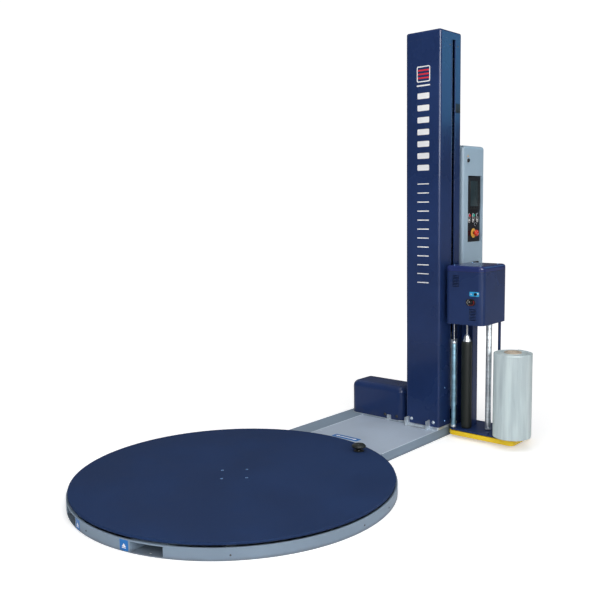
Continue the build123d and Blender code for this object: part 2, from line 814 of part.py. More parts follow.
def rubber_roller():
    """Rubber sleeve on its shaft, with the cone above it and the brake's armature inside the housing."""
    x, y = rubber_roller_xy
    r = rubber_roller_d / 2
    roller = rod(x, y, plate_top_z + 4, rubber_roller_top_z, r)
    roller = fillet(roller.edges().filter_by(GeomType.CIRCLE), 1.5)
    roller += Pos(x, y, rubber_roller_top_z + 20) * Cone(r - 8, roller_shaft_d / 2, 40)
    roller += rod(x, y, plate_z, brake_low_z + brake_h + 22, roller_shaft_d / 2)
    return roller + rod(x, y, brake_low_z + brake_h + 2, brake_low_z + brake_h + 14, brake_d / 2 - 4)


def brake_coil():
    """Fixed half of the film brake."""
    coil = tube(*rubber_roller_xy, brake_low_z, brake_low_z + brake_h, brake_d / 2,
                roller_shaft_d / 2 + run_gap)
    return fillet(coil.edges().filter_by(GeomType.CIRCLE).sort_by(Axis.Z)[-1], 1.5)


def reel_spindle():
    """Flange, tube and two collars that centre the core."""
    x, y = reel_xy
    collar_r = core_bore_d / 2 - 0.1
    top = film_low_z + core_h - 20
    spindle = rod(x, y, plate_top_z, plate_top_z + spindle_flange_t, spindle_flange_d / 2)
    spindle += rod(x, y, plate_top_z, top, 0.62 * collar_r)
    spindle += rod(x, y, plate_top_z, plate_top_z + 46, collar_r)
    return spindle + rod(x, y, top - 40, top, collar_r)


def film_core():
    low = plate_top_z + spindle_flange_t + touch_gap
    return tube(*reel_xy, low, low + core_h, core_d / 2, core_bore_d / 2)


def film_roll():
    roll = rod(*reel_xy, film_low_z, film_low_z + film_h, film_d / 2)
    roll = fillet(roll.edges().filter_by(GeomType.CIRCLE), 2)
    return roll - rod(*reel_xy, film_low_z - 1, film_low_z + film_h + 1, core_d / 2)


# ---------------------------------------------------------------- electrical cabinet
def cabinet_body():
    x0, x1 = cabinet_x, cabinet_x + cabinet_w
    z0, z1 = cabinet_low_z, cabinet_low_z + cabinet_h
    y0, y1 = body_y, body_y + cabinet_d
    w = cabinet_wall
    body = block(x0, x1, y0, y1, z0, z1) - block(x0 + w, x1 - w, y0 - 1, y1 - w, z0 + w, z1 - w)
    for z in (z0 + 90, z1 - 110):
        body += block(mast_back_x, x0, y0 + 40, y0 + 100, z, z + 40)
    return body


def control_gear():
    """Mounting plate with the inverter and a row of relays on DIN rail."""
    x0, x1 = cabinet_x + 25, cabinet_x + cabinet_w - 25
    back = body_y + cabinet_d - cabinet_wall
    low = cabinet_low_z + 60
    plate = block(x0, x1, back - 6, back, low, cabinet_low_z + cabinet_h - 60)
    plate += block(x0 + 20, x0 + 120, back - 116, back - 6, low + 330, low + 570)
    plate += block(x0 + 10, x1 - 10, back - 14, back - 6, low + 190, low + 225)
    for k in range(6):
        x = x0 + 18 + 30 * k
        plate += block(x, x + 24, back - 74, back - 14, low + 165, low + 250)
    return plate


def cabinet_cover():
    """Lift-off front: a shallow shell with rounded edges and a recess for the control panel."""
    x0, x1 = cabinet_x, cabinet_x + cabinet_w
    z0, z1 = cabinet_low_z, cabinet_low_z + cabinet_h
    w = cabinet_wall
    outer = block(x0, x1, front_y, body_y, z0, z1)
    outer = fillet(outer.edges().filter_by(Axis.Y), front_edge_r)
    outer = fillet(outer.faces().sort_by(Axis.Y)[0].edges(), min(front_edge_r - 2, front_t - 6))
    cover = outer - block(x0 + w + 3, x1 - w - 3, front_y + 8, body_y + 1, z0 + w + 3, z1 - w - 3)
    r0, r1, q0, q1 = recess_x, recess_x + recess_w, recess_low_z, recess_low_z + recess_h
    cover += block(r0 - w, r1 + w, front_y + 8, panel_y + panel_t, q0 - w, q1 + w)
    cover -= block(r0, r1, front_y - 1, body_y + 1, q0, q1)
    cover -= rod_y(lock_x, front_y - 1, front_y + 12, lock_z, lock_d / 2 - 4 + run_gap)
    return cover - rod_y(switch_x, front_y - 1, front_y + 12, switch_z, 8 + run_gap)


def button_places():
    return [panel_cx + (k - 1) * button_pitch for k in range(3)]


def control_panel():
    """Black panel in the recess, with three raised legend plates and the holes of its controls."""
    panel = block(recess_x, recess_x + recess_w, panel_y, panel_y + panel_t,
                  recess_low_z, recess_low_z + recess_h)
    for x in button_places():
        z_mid = button_z - legend_h / 2 + legend_w / 2
        legend = Pos(x, panel_y, z_mid) * Rot(90, 0, 0) * Rot(0, 0, 90)
        panel += legend * extrude(SlotOverall(legend_h, legend_w), legend_t)
        panel -= rod_y(x, panel_y - 9, panel_y + 9, button_z, button_stem_d / 2 + run_gap)
    panel -= rod_y(selector_x, panel_y - 1, panel_y + 9, selector_z, button_stem_d / 2 + run_gap)
    return panel - rod_y(estop_x, panel_y - 1, panel_y + 9, estop_z, estop_stem_d / 2 + run_gap)


def hmi_unit():
    """Operator display with a sunk screen."""
    x0 = panel_cx - hmi_w / 2
    unit = block(x0, x0 + hmi_w, panel_y - hmi_t, panel_y, hmi_low_z, hmi_top_z)
    unit = fillet(unit.edges().filter_by(Axis.Y), 6)
    screen = block(x0 + 24, x0 + hmi_w - 24, panel_y - hmi_t - 1, panel_y - hmi_t + 1.5,
                   hmi_low_z + 20, hmi_top_z - 24)
    return unit - screen


def push_button(x):
    face_y = panel_y - legend_t
    gap = button_travel + 0.5
    cap = rod_y(x, face_y - gap - 4, face_y - gap, button_z, button_d / 2)
    cap = fillet(cap.edges().filter_by(GeomType.CIRCLE).sort_by(Axis.Y)[0], 1)
    return cap + rod_y(x, face_y - gap, panel_y + panel_t + 4, button_z, button_stem_d / 2)


def selector_knob():
    grip = rod_y(selector_x, panel_y - 8, panel_y - 1, selector_z, selector_d / 2)
    grip += block(selector_x - 2, selector_x + 2, panel_y - 12, panel_y - 7,
                  selector_z - 8, selector_z + 8)
    return grip + rod_y(selector_x, panel_y - 1, panel_y + panel_t + 4, selector_z, button_stem_d / 2)


def estop_head():
    face = panel_y - estop_travel - 3
    head = rod_y(estop_x, face - 26, face - 10, estop_z, estop_d / 2)
    head = fillet(head.edges().filter_by(GeomType.CIRCLE).sort_by(Axis.Y)[0], 5)
    head += rod_y(estop_x, face - 10, face, estop_z, 0.6 * estop_d / 2)
    return head + rod_y(estop_x, face, panel_y + panel_t + 6, estop_z, estop_stem_d / 2)


def main_switch():
    knob = rod_y(switch_x, front_y - 16, front_y - 5, switch_z, 0.36 * switch_w)
    knob += block(switch_x - 7, switch_x + 7, front_y - 26, front_y - 14,
                  switch_z - 0.4 * switch_w, switch_z + 0.4 * switch_w)
    return knob + rod_y(switch_x, front_y - 5, front_y + 14, switch_z, 8)


def cover_lock():
    head = rod_y(lock_x, front_y - 9, front_y - touch_gap, lock_z, lock_d / 2)
    head = fillet(head.edges().filter_by(GeomType.CIRCLE).sort_by(Axis.Y)[0], 1.5)
    return head + rod_y(lock_x, front_y - 1, front_y + 14, lock_z, lock_d / 2 - 4)


# ---------------------------------------------------------------- write every node
def main():
    os.makedirs("parts", exist_ok=True)
    makers = [base_ring, base_pan, fork_tunnels, beam_frame, beam_cover, pivot_post,
              table_disc, table_hub, bearing_bush, table_sprocket, table_bolts, clamp_stem, clamp_knob,
              wheel_brackets, drive_chain, drive_sprocket, drive_gearmotor, motor_cover,
              mast_column, mast_cap, mast_base_plate, foot_brackets, foot_bolts,
              guide_rails, guide_shoes, slider_plate, lift_belt, lift_drive,
              carriage_column, housing_shell, housing_lid, tension_knob, bottom_plate, bumper,
              idler_shafts, front_idler_roller, rear_idler_roller, rubber_roller, brake_coil,
              reel_spindle, film_core, film_roll,
              cabinet_body, control_gear, cabinet_cover, control_panel, hmi_unit,
              selector_knob, estop_head, main_switch, cover_lock]
    for maker in makers:
        save(maker(), maker.__name__)
    for number, angle in enumerate(wheel_angles(), 1):
        save(support_wheel(angle), "support_wheel_" + str(number))
    save(lift_pulley(lift_top_z), "lift_top_pulley")
    save(lift_pulley(lift_bottom_z), "lift_bottom_pulley")
    for number, x in enumerate(button_places(), 1):
        save(push_button(x), "push_button_" + str(number))


main()
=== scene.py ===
"""Visual model of a turntable pallet wrapper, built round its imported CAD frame. All sizes are in metres."""
import logging
import math
import random
from collections import defaultdict
from collections.abc import Callable, Iterable, Mapping, Sequence
from dataclasses import dataclass, field
from enum import Enum
from typing import ClassVar, Union

import bmesh
import bpy
from mathutils import Matrix, Vector


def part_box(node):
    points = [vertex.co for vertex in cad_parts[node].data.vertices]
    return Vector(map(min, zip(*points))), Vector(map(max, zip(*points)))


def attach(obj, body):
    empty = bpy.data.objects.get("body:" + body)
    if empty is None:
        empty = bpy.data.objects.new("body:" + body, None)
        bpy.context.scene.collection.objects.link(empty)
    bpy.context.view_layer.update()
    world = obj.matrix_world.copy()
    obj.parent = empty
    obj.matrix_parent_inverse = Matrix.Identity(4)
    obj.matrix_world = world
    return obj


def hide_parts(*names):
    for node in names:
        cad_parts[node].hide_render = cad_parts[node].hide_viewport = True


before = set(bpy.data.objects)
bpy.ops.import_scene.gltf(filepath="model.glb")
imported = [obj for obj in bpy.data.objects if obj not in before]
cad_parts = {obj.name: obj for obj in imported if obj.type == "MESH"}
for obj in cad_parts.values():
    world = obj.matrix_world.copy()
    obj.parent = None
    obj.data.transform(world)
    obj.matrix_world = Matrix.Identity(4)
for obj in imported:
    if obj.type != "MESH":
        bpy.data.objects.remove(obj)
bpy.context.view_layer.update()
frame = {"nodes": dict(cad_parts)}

LOG = logging.getLogger("pallet_wrapper")
MM = 0.001
INK = 0.3 * MM

Colour = tuple[float, float, float]
Triple = tuple[float, float, float]
Outline = list[tuple[float, float]]
Socket = bpy.types.NodeSocket
Sockets = bpy.types.bpy_prop_collection
Given = Mapping[str, Socket]
Value = Union[float, Sequence[float], Socket]


# ------------------------------------------------------------------ named options
class Body(str, Enum):
    """The moving bodies that pieces ride on."""

    BASE = "base"
    TURNTABLE = "turntable"
    FILM_CLAMP = "film_clamp"
    CARRIAGE = "carriage"
    FRONT_IDLER = "front_idler"
    BRAKE_ROLLER = "brake_roller"
    REAR_IDLER = "rear_idler"
    REEL = "reel"
    TENSION_DIAL = "tension_dial"
    SELECTOR = "selector"
    ESTOP = "estop"
    POWER_SWITCH = "power_switch"
    LOCK = "lock"


class Slot(str, Enum):
    """Material slots of the record."""

    NAVY_PAINT = "navy_paint"
    TABLE_PAINT = "table_paint"
    HOUSING_PAINT = "housing_paint"
    GREY_PAINT = "grey_paint"
    CABINET_PAINT = "cabinet_paint"
    YELLOW_PAINT = "yellow_paint"
    MACHINE_GREY = "machine_grey"
    GALVANISED = "galvanised"
    STEEL = "steel"
    DARK_STEEL = "dark_steel"
    BRONZE = "bronze"
    CHROME = "chrome"
    ANODISED_BLUE = "anodised_blue"
    BOLT_BLUE = "bolt_blue"
    RUBBER_BLACK = "rubber_black"
    WHEEL_NYLON = "wheel_nylon"
    BLACK_PLASTIC = "black_plastic"
    BLACK_GLOSS = "black_gloss"
    BELT_BLACK = "belt_black"
    CARDBOARD = "cardboard"
    FILM = "film"
    RED_PLASTIC = "red_plastic"
    GREEN_PLASTIC = "green_plastic"
    RED_BUTTON = "red_button"
    ELECTRONICS = "electronics"


class Side(Enum):
    """The way a flat face looks, as its reading direction: (right, up)."""

    MINUS_X = ((0, -1, 0), (0, 0, 1))
    PLUS_X = ((0, 1, 0), (0, 0, 1))
    MINUS_Y = ((1, 0, 0), (0, 0, 1))
    PLUS_Y = ((-1, 0, 0), (0, 0, 1))
    TOP = ((1, 0, 0), (0, 1, 0))


# ------------------------------------------------------------------ places
@dataclass(frozen=True)
class Extent:
    """Lowest and highest corner of something."""

    lo: Vector
    hi: Vector

    @classmethod
    def of(cls, node: str) -> "Extent":
        """Extent of a CAD node at rest."""
        return cls(*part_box(node))

    @property
    def mid(self) -> Vector:
        """Centre."""
        return (self.lo + self.hi) / 2

    @property
    def size(self) -> Vector:
        """Lengths along X, Y and Z."""
        return self.hi - self.lo


def solids_in(node: str) -> list[Extent]:
    """Finds the separate solids of a CAD node.

    Args:
        node: name of the CAD node.

    Returns:
        The extent of each solid, in order of X, then Y.
    """
    mesh = frame["nodes"][node].data
    owner: dict[tuple[int, ...], tuple[int, ...]] = {}

    def root(key: tuple[int, ...]) -> tuple[int, ...]:
        """Representative of a corner's solid."""
        while owner.setdefault(key, key) != key:
            key = owner[key]
        return key

    keys = [tuple(round(c / (0.02 * MM)) for c in vertex.co) for vertex in mesh.vertices]
    for polygon in mesh.polygons:
        first = root(keys[polygon.vertices[0]])
        for index in polygon.vertices:
            owner[root(keys[index])] = first
    groups = defaultdict(list)
    for vertex, key in zip(mesh.vertices, keys):
        groups[root(key)].append(vertex.co)
    extents = [Extent(Vector(map(min, *points)), Vector(map(max, *points))) for points in groups.values()]
    return sorted(extents, key=lambda e: (round(e.mid.x, 4), round(e.mid.y, 4), e.mid.z))


@dataclass(frozen=True)
class Seat:
    """A place on a surface: an origin, the way to the right and the way up; the third way leads outwards."""

    origin: Vector
    right: Vector
    up: Vector

    @classmethod
    def on(cls, side: Side, x: float, y: float, z: float) -> "Seat":
        """Seat on a flat face."""
        return cls(Vector((x, y, z)), Vector(side.value[0]), Vector(side.value[1]))

    @classmethod
    def round(cls, radius: float, degrees: float, z: float) -> "Seat":
        """Seat on an upright cylinder about the row's Z axis."""
        angle = math.radians(degrees)
        out = Vector((math.cos(angle), math.sin(angle), 0))
        return cls(out * radius + Vector((0, 0, z)), Vector((-out.y, out.x, 0)), Vector((0, 0, 1)))

    def at(self, u: float, v: float, h: float) -> Vector:
        """Point u to the right, v up and h outwards."""
        return self.origin + self.right * u + self.up * v + self.right.cross(self.up) * h

    def moved(self, u: float, v: float, h: float = 0.0) -> "Seat":
        """The same seat somewhere else on its surface."""
        return Seat(self.at(u, v, h), self.right, self.up)


# ------------------------------------------------------------------ outlines, anticlockwise
def circle(radius: float, count: int = 40) -> Outline:
    """Points round a circle."""
    return [(radius * math.cos(t), radius * math.sin(t))
            for t in (2 * math.pi * k / count for k in range(count))]


def rounded_rectangle(width: float, height: float, radius: float, steps: int = 6) -> Outline:
    """Makes a rectangle with round corners.

    Args:
        width: size to the right.
        height: size upwards.
        radius: of the corners, limited by the rectangle.
        steps: segments in each corner.

    Returns:
        The outline about its centre.
    """
    r = min(radius, width / 2 - 0.01 * MM, height / 2 - 0.01 * MM)
    points = []
    for quarter, (sx, sy) in enumerate(((1, 1), (-1, 1), (-1, -1), (1, -1))):
        for k in range(steps + 1):
            angle = math.pi / 2 * (quarter + k / steps)
            points.append((sx * (width / 2 - r) + r * math.cos(angle),
                           sy * (height / 2 - r) + r * math.sin(angle)))
    return points


def inset(outline: Outline, distance: float) -> Outline:
    """Moves an outline inwards.

    Args:
        outline: anticlockwise points.
        distance: how far inwards; outwards when negative.

    Returns:
        The moved outline, with as many points.
    """
    moved = []
    count = len(outline)
    for k in range(count):
        before, here, after = (Vector(outline[(k + step) % count]) for step in (-1, 0, 1))
        first, second = (here - before).normalized(), (after - here).normalized()
        lean = Vector((-first.y - second.y, first.x + second.x))
        moved.append(tuple(here + lean * (2 * distance / lean.length_squared)))
    return moved


def softened(profile: Outline, radius: float, steps: int = 3) -> Outline:
    """Rounds the inner corners of an open profile.

    Args:
        profile: (radius, height) points.
        radius: of the rounding, limited by the two runs at a corner.
        steps: segments in each rounding.

    Returns:
        The profile with more points.
    """
    points = [profile[0]]
    for before, corner, after in zip(profile, profile[1:], profile[2:]):
        b, c, a = Vector(before), Vector(corner), Vector(after)
        start = c + (b - c).normalized() * min(radius, 0.45 * (b - c).length)
        end = c + (a - c).normalized() * min(radius, 0.45 * (a - c).length)
        for k in range(steps + 1):
            s = k / steps
            points.append(tuple(start * (1 - s) ** 2 + c * 2 * s * (1 - s) + end * s ** 2))
    return [*points, profile[-1]]


# ------------------------------------------------------------------ meshes
RadiusRule = Callable[[float, float, float], float]
SMOOTH_ANGLE = math.radians(32)


def hex_socket(limit: float) -> RadiusRule:
    """Radius rule that makes the part of a profile inside a limit six-sided."""
    def rule(angle: float, radius: float, height: float) -> float:
        """Radius at an angle."""
        if radius > limit * 1.001:
            return radius
        return radius * math.cos(math.pi / 6) / math.cos(angle % (math.pi / 3) - math.pi / 6)
    return rule


class Solid:
    """A closed mesh put together from extruded and turned shapes."""

    edge_steps: ClassVar[int] = 3

    def __init__(self) -> None:
        """Starts an empty mesh."""
        self.mesh = bmesh.new()

    def ring(self, points: Iterable[Vector]) -> list[bmesh.types.BMVert]:
        """Adds a closed row of corners."""
        return [self.mesh.verts.new(point) for point in points]

    def skin(self, rings: Sequence[list[bmesh.types.BMVert]]) -> None:
        """Joins each row of corners to the next; a row of one corner makes a fan."""
        for low, high in zip(rings, rings[1:]):
            count = max(len(low), len(high))
            for k in range(count):
                corners = [low[k % len(low)], low[(k + 1) % len(low)],
                           high[(k + 1) % len(high)], high[k % len(high)]]
                self.mesh.faces.new(list(dict.fromkeys(corners)))

    def prism(self, seat: Seat, outline: Outline, depth: float, edge: float = 0.0,
              start: float = 0.0) -> "Solid":
        """Extrudes an outline outwards.

        Args:
            seat: where the outline's origin sits.
            outline: anticlockwise points.
            depth: height of the outer face above the seat.
            edge: rounding of the outer edge.
            start: height of the inner face.

        Returns:
            This solid.
        """
        layers = [(0.0, start)]
        if edge:
            turns = [math.pi / 2 * k / self.edge_steps for k in range(self.edge_steps + 1)]
            layers += [(edge * (1 - math.cos(t)), depth - edge * (1 - math.sin(t))) for t in turns]
        else:
            layers.append((0.0, depth))
        rings = [self.ring(seat.at(u, v, h) for u, v in inset(outline, d)) for d, h in layers]
        self.skin(rings)
        self.mesh.faces.new(rings[0][::-1])
        self.mesh.faces.new(rings[-1])
        return self

    def border(self, seat: Seat, outline: Outline, width: float, depth: float, start: float = 0.0) -> "Solid":
        """Extrudes a closed band along the inside of an outline.

        Args:
            seat: where the outline's origin sits.
            outline: anticlockwise points of the band's outer edge.
            width: of the band.
            depth: height of the band's outer face.
            start: height of its inner face.

        Returns:
            This solid.
        """
        soft = min(0.25 * width, 0.25 * (depth - start))
        layers = [(0, start), (0, depth - soft), (soft, depth), (width - soft, depth), (width, depth - soft),
                  (width, start)]
        rings = [self.ring(seat.at(u, v, h) for u, v in inset(outline, d)) for d, h in layers]
        self.skin([*rings, rings[0]])
        return self

    def turned(self, seat: Seat, profile: Outline, segments: int = 48, closed: bool = False,
               rule: RadiusRule | None = None) -> "Solid":
        """Turns a profile about the seat's outward axis.

        Args:
            seat: foot of the axis.
            profile: (radius, height) points from the bottom up, on the outside.
            segments: round the axis.
            closed: whether the profile comes back to its first point, as for a ring.
            rule: changes a radius by angle and height, for flutes and flats.

        Returns:
            This solid.
        """
        rings = []
        for radius, height in profile:
            if radius < 1e-6:
                rings.append(self.ring([seat.at(0, 0, height)]))
                continue
            turn = [2 * math.pi * k / segments for k in range(segments)]
            reach = [rule(t, radius, height) if rule else radius for t in turn]
            points = (seat.at(r * math.cos(t), r * math.sin(t), height) for r, t in zip(reach, turn))
            rings.append(self.ring(points))
        self.skin([*rings, rings[0]] if closed else rings)
        if not closed:
            for end in (rings[0], rings[-1]):
                if len(end) > 1:
                    self.mesh.faces.new(end)
        return self

    def patch(self, place: Callable[[float, float, float], Vector], columns: int, rows: int,
              thickness: float) -> "Solid":
        """Makes a thin curved plate.

        Args:
            place: gives the point at (share across, share up, height above the surface).
            columns: segments across.
            rows: segments up.
            thickness: of the plate.

        Returns:
            This solid.
        """
        around = [(i / columns, 0.0) for i in range(columns)] + [(1.0, j / rows) for j in range(rows)]
        around += [(1 - i / columns, 1.0) for i in range(columns)]
        around += [(0.0, 1 - j / rows) for j in range(rows)]
        grids = [{(i, j): self.mesh.verts.new(place(i / columns, j / rows, h))
                  for i in range(columns + 1) for j in range(rows + 1)} for h in (0.0, thickness)]
        for grid in grids:
            for i in range(columns):
                for j in range(rows):
                    self.mesh.faces.new((grid[i, j], grid[i + 1, j], grid[i + 1, j + 1], grid[i, j + 1]))
        rims = [[grid[round(s * columns), round(t * rows)] for s, t in around] for grid in grids]
        self.skin(rims)
        return self

    def made(self, name: str) -> bpy.types.Object:
        """Turns the mesh into an object.

        Args:
            name: of the object.

        Returns:
            The object, in the scene, smooth but for its sharp edges.
        """
        bmesh.ops.recalc_face_normals(self.mesh, faces=self.mesh.faces)
        mesh = bpy.data.meshes.new(name)
        self.mesh.to_mesh(mesh)
        self.mesh.free()
        mesh.shade_smooth()
        mesh.set_sharp_from_angle(angle=SMOOTH_ANGLE)
        piece = bpy.data.objects.new(name, mesh)
        bpy.context.scene.collection.objects.link(piece)
        return piece


class Fastener:
    """Screws and bolts, added to a solid."""

    @staticmethod
    def socket_screw(solid: Solid, seat: Seat, radius: float, height: float) -> None:
        """Adds a button-head screw with a hexagon socket.

        Args:
            solid: the mesh to add to.
            seat: centre of the head's seat.
            radius: of the head.
            height: of the head.
        """
        socket = 0.48 * radius
        profile = [(0, 0), *softened([(radius, 0), (radius, 0.45 * height), (0.72 * radius, height),
                                      (socket * 1.15, height)], 0.3 * height),
                   (socket, 0.92 * height), (socket, 0.25 * height), (0, 0.18 * height)]
        solid.turned(seat, profile, 36, rule=hex_socket(socket))

    @staticmethod
    def hex_bolt(solid: Solid, seat: Seat, radius: float, height: float) -> None:
        """Adds a hexagon head on a washer.

        Args:
            solid: the mesh to add to.
            seat: centre of the washer's seat.
            radius: of the head over its corners.
            height: of the head and washer.
        """
        washer = 0.22 * height
        solid.turned(seat, softened([(0, 0), (1.25 * radius, 0), (1.25 * radius, washer), (0, washer)],
                                    0.3 * washer), 36)
        head = [(radius * math.cos(k * math.pi / 3), radius * math.sin(k * math.pi / 3)) for k in range(6)]
        solid.prism(seat, head, height, 0.14 * height, washer)
        crown = [(0.5 * radius, height), (0.5 * radius, 1.04 * height), (0, 1.04 * height)]
        solid.turned(seat, softened(crown, 0.1 * height), 24)


# ------------------------------------------------------------------ shader wiring
class Graph:
    """A shader node tree that is being wired."""

    def __init__(self, tree: bpy.types.NodeTree) -> None:
        """Takes the tree to wire."""
        self.tree = tree

    def add(self, kind: str, **settings: object) -> bpy.types.Node:
        """Adds a node and sets its properties."""
        node = self.tree.nodes.new(kind)
        for name, value in settings.items():
            setattr(node, name, value)
        return node

    def feed(self, socket: Socket, value: Value) -> None:
        """Links a socket, or sets its own value."""
        if isinstance(value, Socket):
            self.tree.links.new(value, socket)
        elif isinstance(value, (tuple, list)) and socket.type == "RGBA":
            socket.default_value = (*value[:3], 1.0)
        else:
            socket.default_value = value

    def math(self, operation: str, *values: Value, clamp: bool = False) -> Socket:
        """Result of a Math node."""
        node = self.add("ShaderNodeMath", operation=operation, use_clamp=clamp)
        for socket, value in zip(node.inputs, values):
            self.feed(socket, value)
        return node.outputs[0]

    def vector(self, operation: str, *values: Value) -> Socket:
        """Result of a Vector Math node."""
        node = self.add("ShaderNodeVectorMath", operation=operation)
        for socket, value in zip(node.inputs, values):
            self.feed(socket, value)
        return node.outputs["Value" if operation in ("DOT_PRODUCT", "LENGTH") else "Vector"]

    def remap(self, value: Value, low: Value, high: Value, to_low: Value = 0.0,
              to_high: Value = 1.0) -> Socket:
        """Value moved smoothly from one range to another."""
        node = self.add("ShaderNodeMapRange", interpolation_type="SMOOTHSTEP")
        for socket, given in zip(node.inputs, (value, low, high, to_low, to_high)):
            self.feed(socket, given)
        return node.outputs["Result"]

    def mix(self, share: Value, first: Value, second: Value) -> Socket:
        """Colour between two colours."""
        node = self.add("ShaderNodeMix", data_type="RGBA")
        self.feed(node.inputs["Factor"], share)
        self.feed(node.inputs[6], first)
        self.feed(node.inputs[7], second)
        return node.outputs[2]

    def place(self) -> Socket:
        """The piece's own coordinates, in metres."""
        return self.add("ShaderNodeTexCoord").outputs["Object"]

    def noise(self, where: Value, scale: Value, detail: float = 2.0, rough: float = 0.5) -> Socket:
        """Noise between 0 and 1."""
        node = self.add("ShaderNodeTexNoise")
        self.feed(node.inputs["Vector"], where)
        self.feed(node.inputs["Scale"], scale)
        node.inputs["Detail"].default_value = detail
        node.inputs["Roughness"].default_value = rough
        return node.outputs[0]

    def combine(self, *values: Value) -> Socket:
        """Vector of three values."""
        node = self.add("ShaderNodeCombineXYZ")
        for socket, value in zip(node.inputs, values):
            self.feed(socket, value)
        return node.outputs[0]

    def split(self, value: Value) -> Sockets:
        """The three parts of a vector."""
        node = self.add("ShaderNodeSeparateXYZ")
        self.feed(node.inputs[0], value)
        return node.outputs

    def bump(self, height: Value, depth: float, below: Socket | None = None) -> Socket:
        """Normal bent by a height of that depth, over an earlier one."""
        node = self.add("ShaderNodeBump")
        node.inputs["Strength"].default_value = 1.0
        node.inputs["Distance"].default_value = depth
        self.feed(node.inputs["Height"], height)
        if below is not None:
            self.feed(node.inputs["Normal"], below)
        return node.outputs[0]

    def effect(self, effect: type["Effect"], **given: Value) -> Sockets:
        """Outputs of a shared effect with these inputs."""
        node = self.add("ShaderNodeGroup", node_tree=effect.tree())
        for name, value in given.items():
            self.feed(node.inputs[name], value)
        return node.outputs


class Effect:
    """A shader node group that several finishes share, built once."""

    inputs: ClassVar[dict[str, float]] = {}
    outputs: ClassVar[tuple[str, ...]] = ("Mask",)
    built: ClassVar[dict[str, bpy.types.NodeTree]] = {}

    @classmethod
    def tree(cls) -> bpy.types.NodeTree:
        """The group's node tree."""
        if cls.__name__ not in Effect.built:
            tree = bpy.data.node_groups.new(cls.__name__, "ShaderNodeTree")
            for name, value in cls.inputs.items():
                socket = tree.interface.new_socket(name=name, in_out="INPUT", socket_type="NodeSocketFloat")
                socket.default_value = value
            for name in cls.outputs:
                tree.interface.new_socket(name=name, in_out="OUTPUT", socket_type="NodeSocketFloat")
            graph = Graph(tree)
            made = cls.wire(graph, graph.add("NodeGroupInput").outputs)
            result = graph.add("NodeGroupOutput")
            for name, socket in zip(cls.outputs, made):
                graph.feed(result.inputs[name], socket)
            Effect.built[cls.__name__] = tree
        return Effect.built[cls.__name__]

    @classmethod
    def wire(cls, graph: Graph, given: Given) -> tuple[Socket, ...]:
        """Wires the group and returns what it puts out, in order."""
        raise NotImplementedError


class OrangePeel(Effect):
    """The fine waviness of sprayed powder, and the slow drift of its shade."""

    inputs = {"Scale": 380.0}
    outputs = ("Height", "Drift")

    @classmethod
    def wire(cls, graph: Graph, given: Given) -> tuple[Socket, ...]:
        """Fine noise for the height, coarse noise for the drift."""
        where = graph.place()
        return graph.noise(where, given["Scale"], 2.0), graph.remap(graph.noise(where, 2.6, 4.0), 0.32, 0.68)


class EdgeWearAndHighlight(Effect):
    """Where a coat is rubbed thin on outer edges; its plain Edge output also marks the edges for a painted
    highlight.
    """

    inputs = {"Radius": 2.5 * MM, "Amount": 0.5, "Grain": 70.0}
    outputs = ("Mask", "Edge")

    @classmethod
    def wire(cls, graph: Graph, given: Given) -> tuple[Socket, ...]:
        """Compares the true normal with a rounded one and breaks the result up with noise."""
        rounded = graph.add("ShaderNodeBevel", samples=4)
        graph.feed(rounded.inputs["Radius"], given["Radius"])
        flat = graph.add("ShaderNodeNewGeometry").outputs["Normal"]
        edge = graph.remap(graph.vector("DOT_PRODUCT", rounded.outputs[0], flat), 0.99, 0.86)
        patches = graph.remap(graph.noise(graph.place(), given["Grain"], 5.0, 0.65), 0.46, 0.62)
        edge_for_wear_and_highlight = graph.math("MULTIPLY", edge, given["Amount"], clamp=True)
        return graph.math("MULTIPLY", edge_for_wear_and_highlight, patches), edge_for_wear_and_highlight


class Dust(Effect):
    """Dust that has settled on faces that look up."""

    inputs = {"Amount": 0.3, "Scale": 7.0}

    @classmethod
    def wire(cls, graph: Graph, given: Given) -> tuple[Socket, ...]:
        """Upward share of the normal, broken up with noise."""
        up = graph.remap(graph.split(graph.add("ShaderNodeNewGeometry").outputs["Normal"])[2], 0.25, 0.98)
        cloud = graph.remap(graph.noise(graph.place(), given["Scale"], 6.0, 0.6), 0.38, 0.74)
        return (graph.math("MULTIPLY", graph.math("MULTIPLY", up, cloud), given["Amount"], clamp=True),)


class FloorGrime(Effect):
    """Dirt that splashes up from the floor."""

    inputs = {"Height": 0.06, "Amount": 0.4}

    @classmethod
    def wire(cls, graph: Graph, given: Given) -> tuple[Socket, ...]:
        """Fades out with height, with a ragged upper limit."""
        where = graph.place()
        ragged = graph.math("MULTIPLY", graph.noise(where, 16.0, 6.0, 0.6), given["Height"])
        low = graph.remap(graph.split(where)[2], graph.math("ADD", ragged, 0.002), 0.0)
        return (graph.math("MULTIPLY", low, given["Amount"], clamp=True),)


class Scuffs(Effect):
    """Hairline scratches in patches."""

    inputs = {"Scale": 9.0, "Amount": 0.4}

    @classmethod
    def wire(cls, graph: Graph, given: Given) -> tuple[Socket, ...]:
        """Thin contour lines of stretched noise, kept in a few patches only."""
        where = graph.place()
        lean = graph.add("ShaderNodeMapping")
        graph.feed(lean.inputs["Vector"], where)
        lean.inputs["Rotation"].default_value = (0.5, 0.35, 0.8)
        lean.inputs["Scale"].default_value = (1.0, 9.0, 3.0)
        field = graph.noise(lean.outputs[0], given["Scale"], 3.0, 0.7)
        line = graph.remap(graph.math("ABSOLUTE", graph.math("SUBTRACT", field, 0.5)), 0.006, 0.0)
        patch = graph.remap(graph.noise(where, 4.0, 2.0), 0.52, 0.66)
        return (graph.math("MULTIPLY", graph.math("MULTIPLY", line, patch), given["Amount"], clamp=True),)


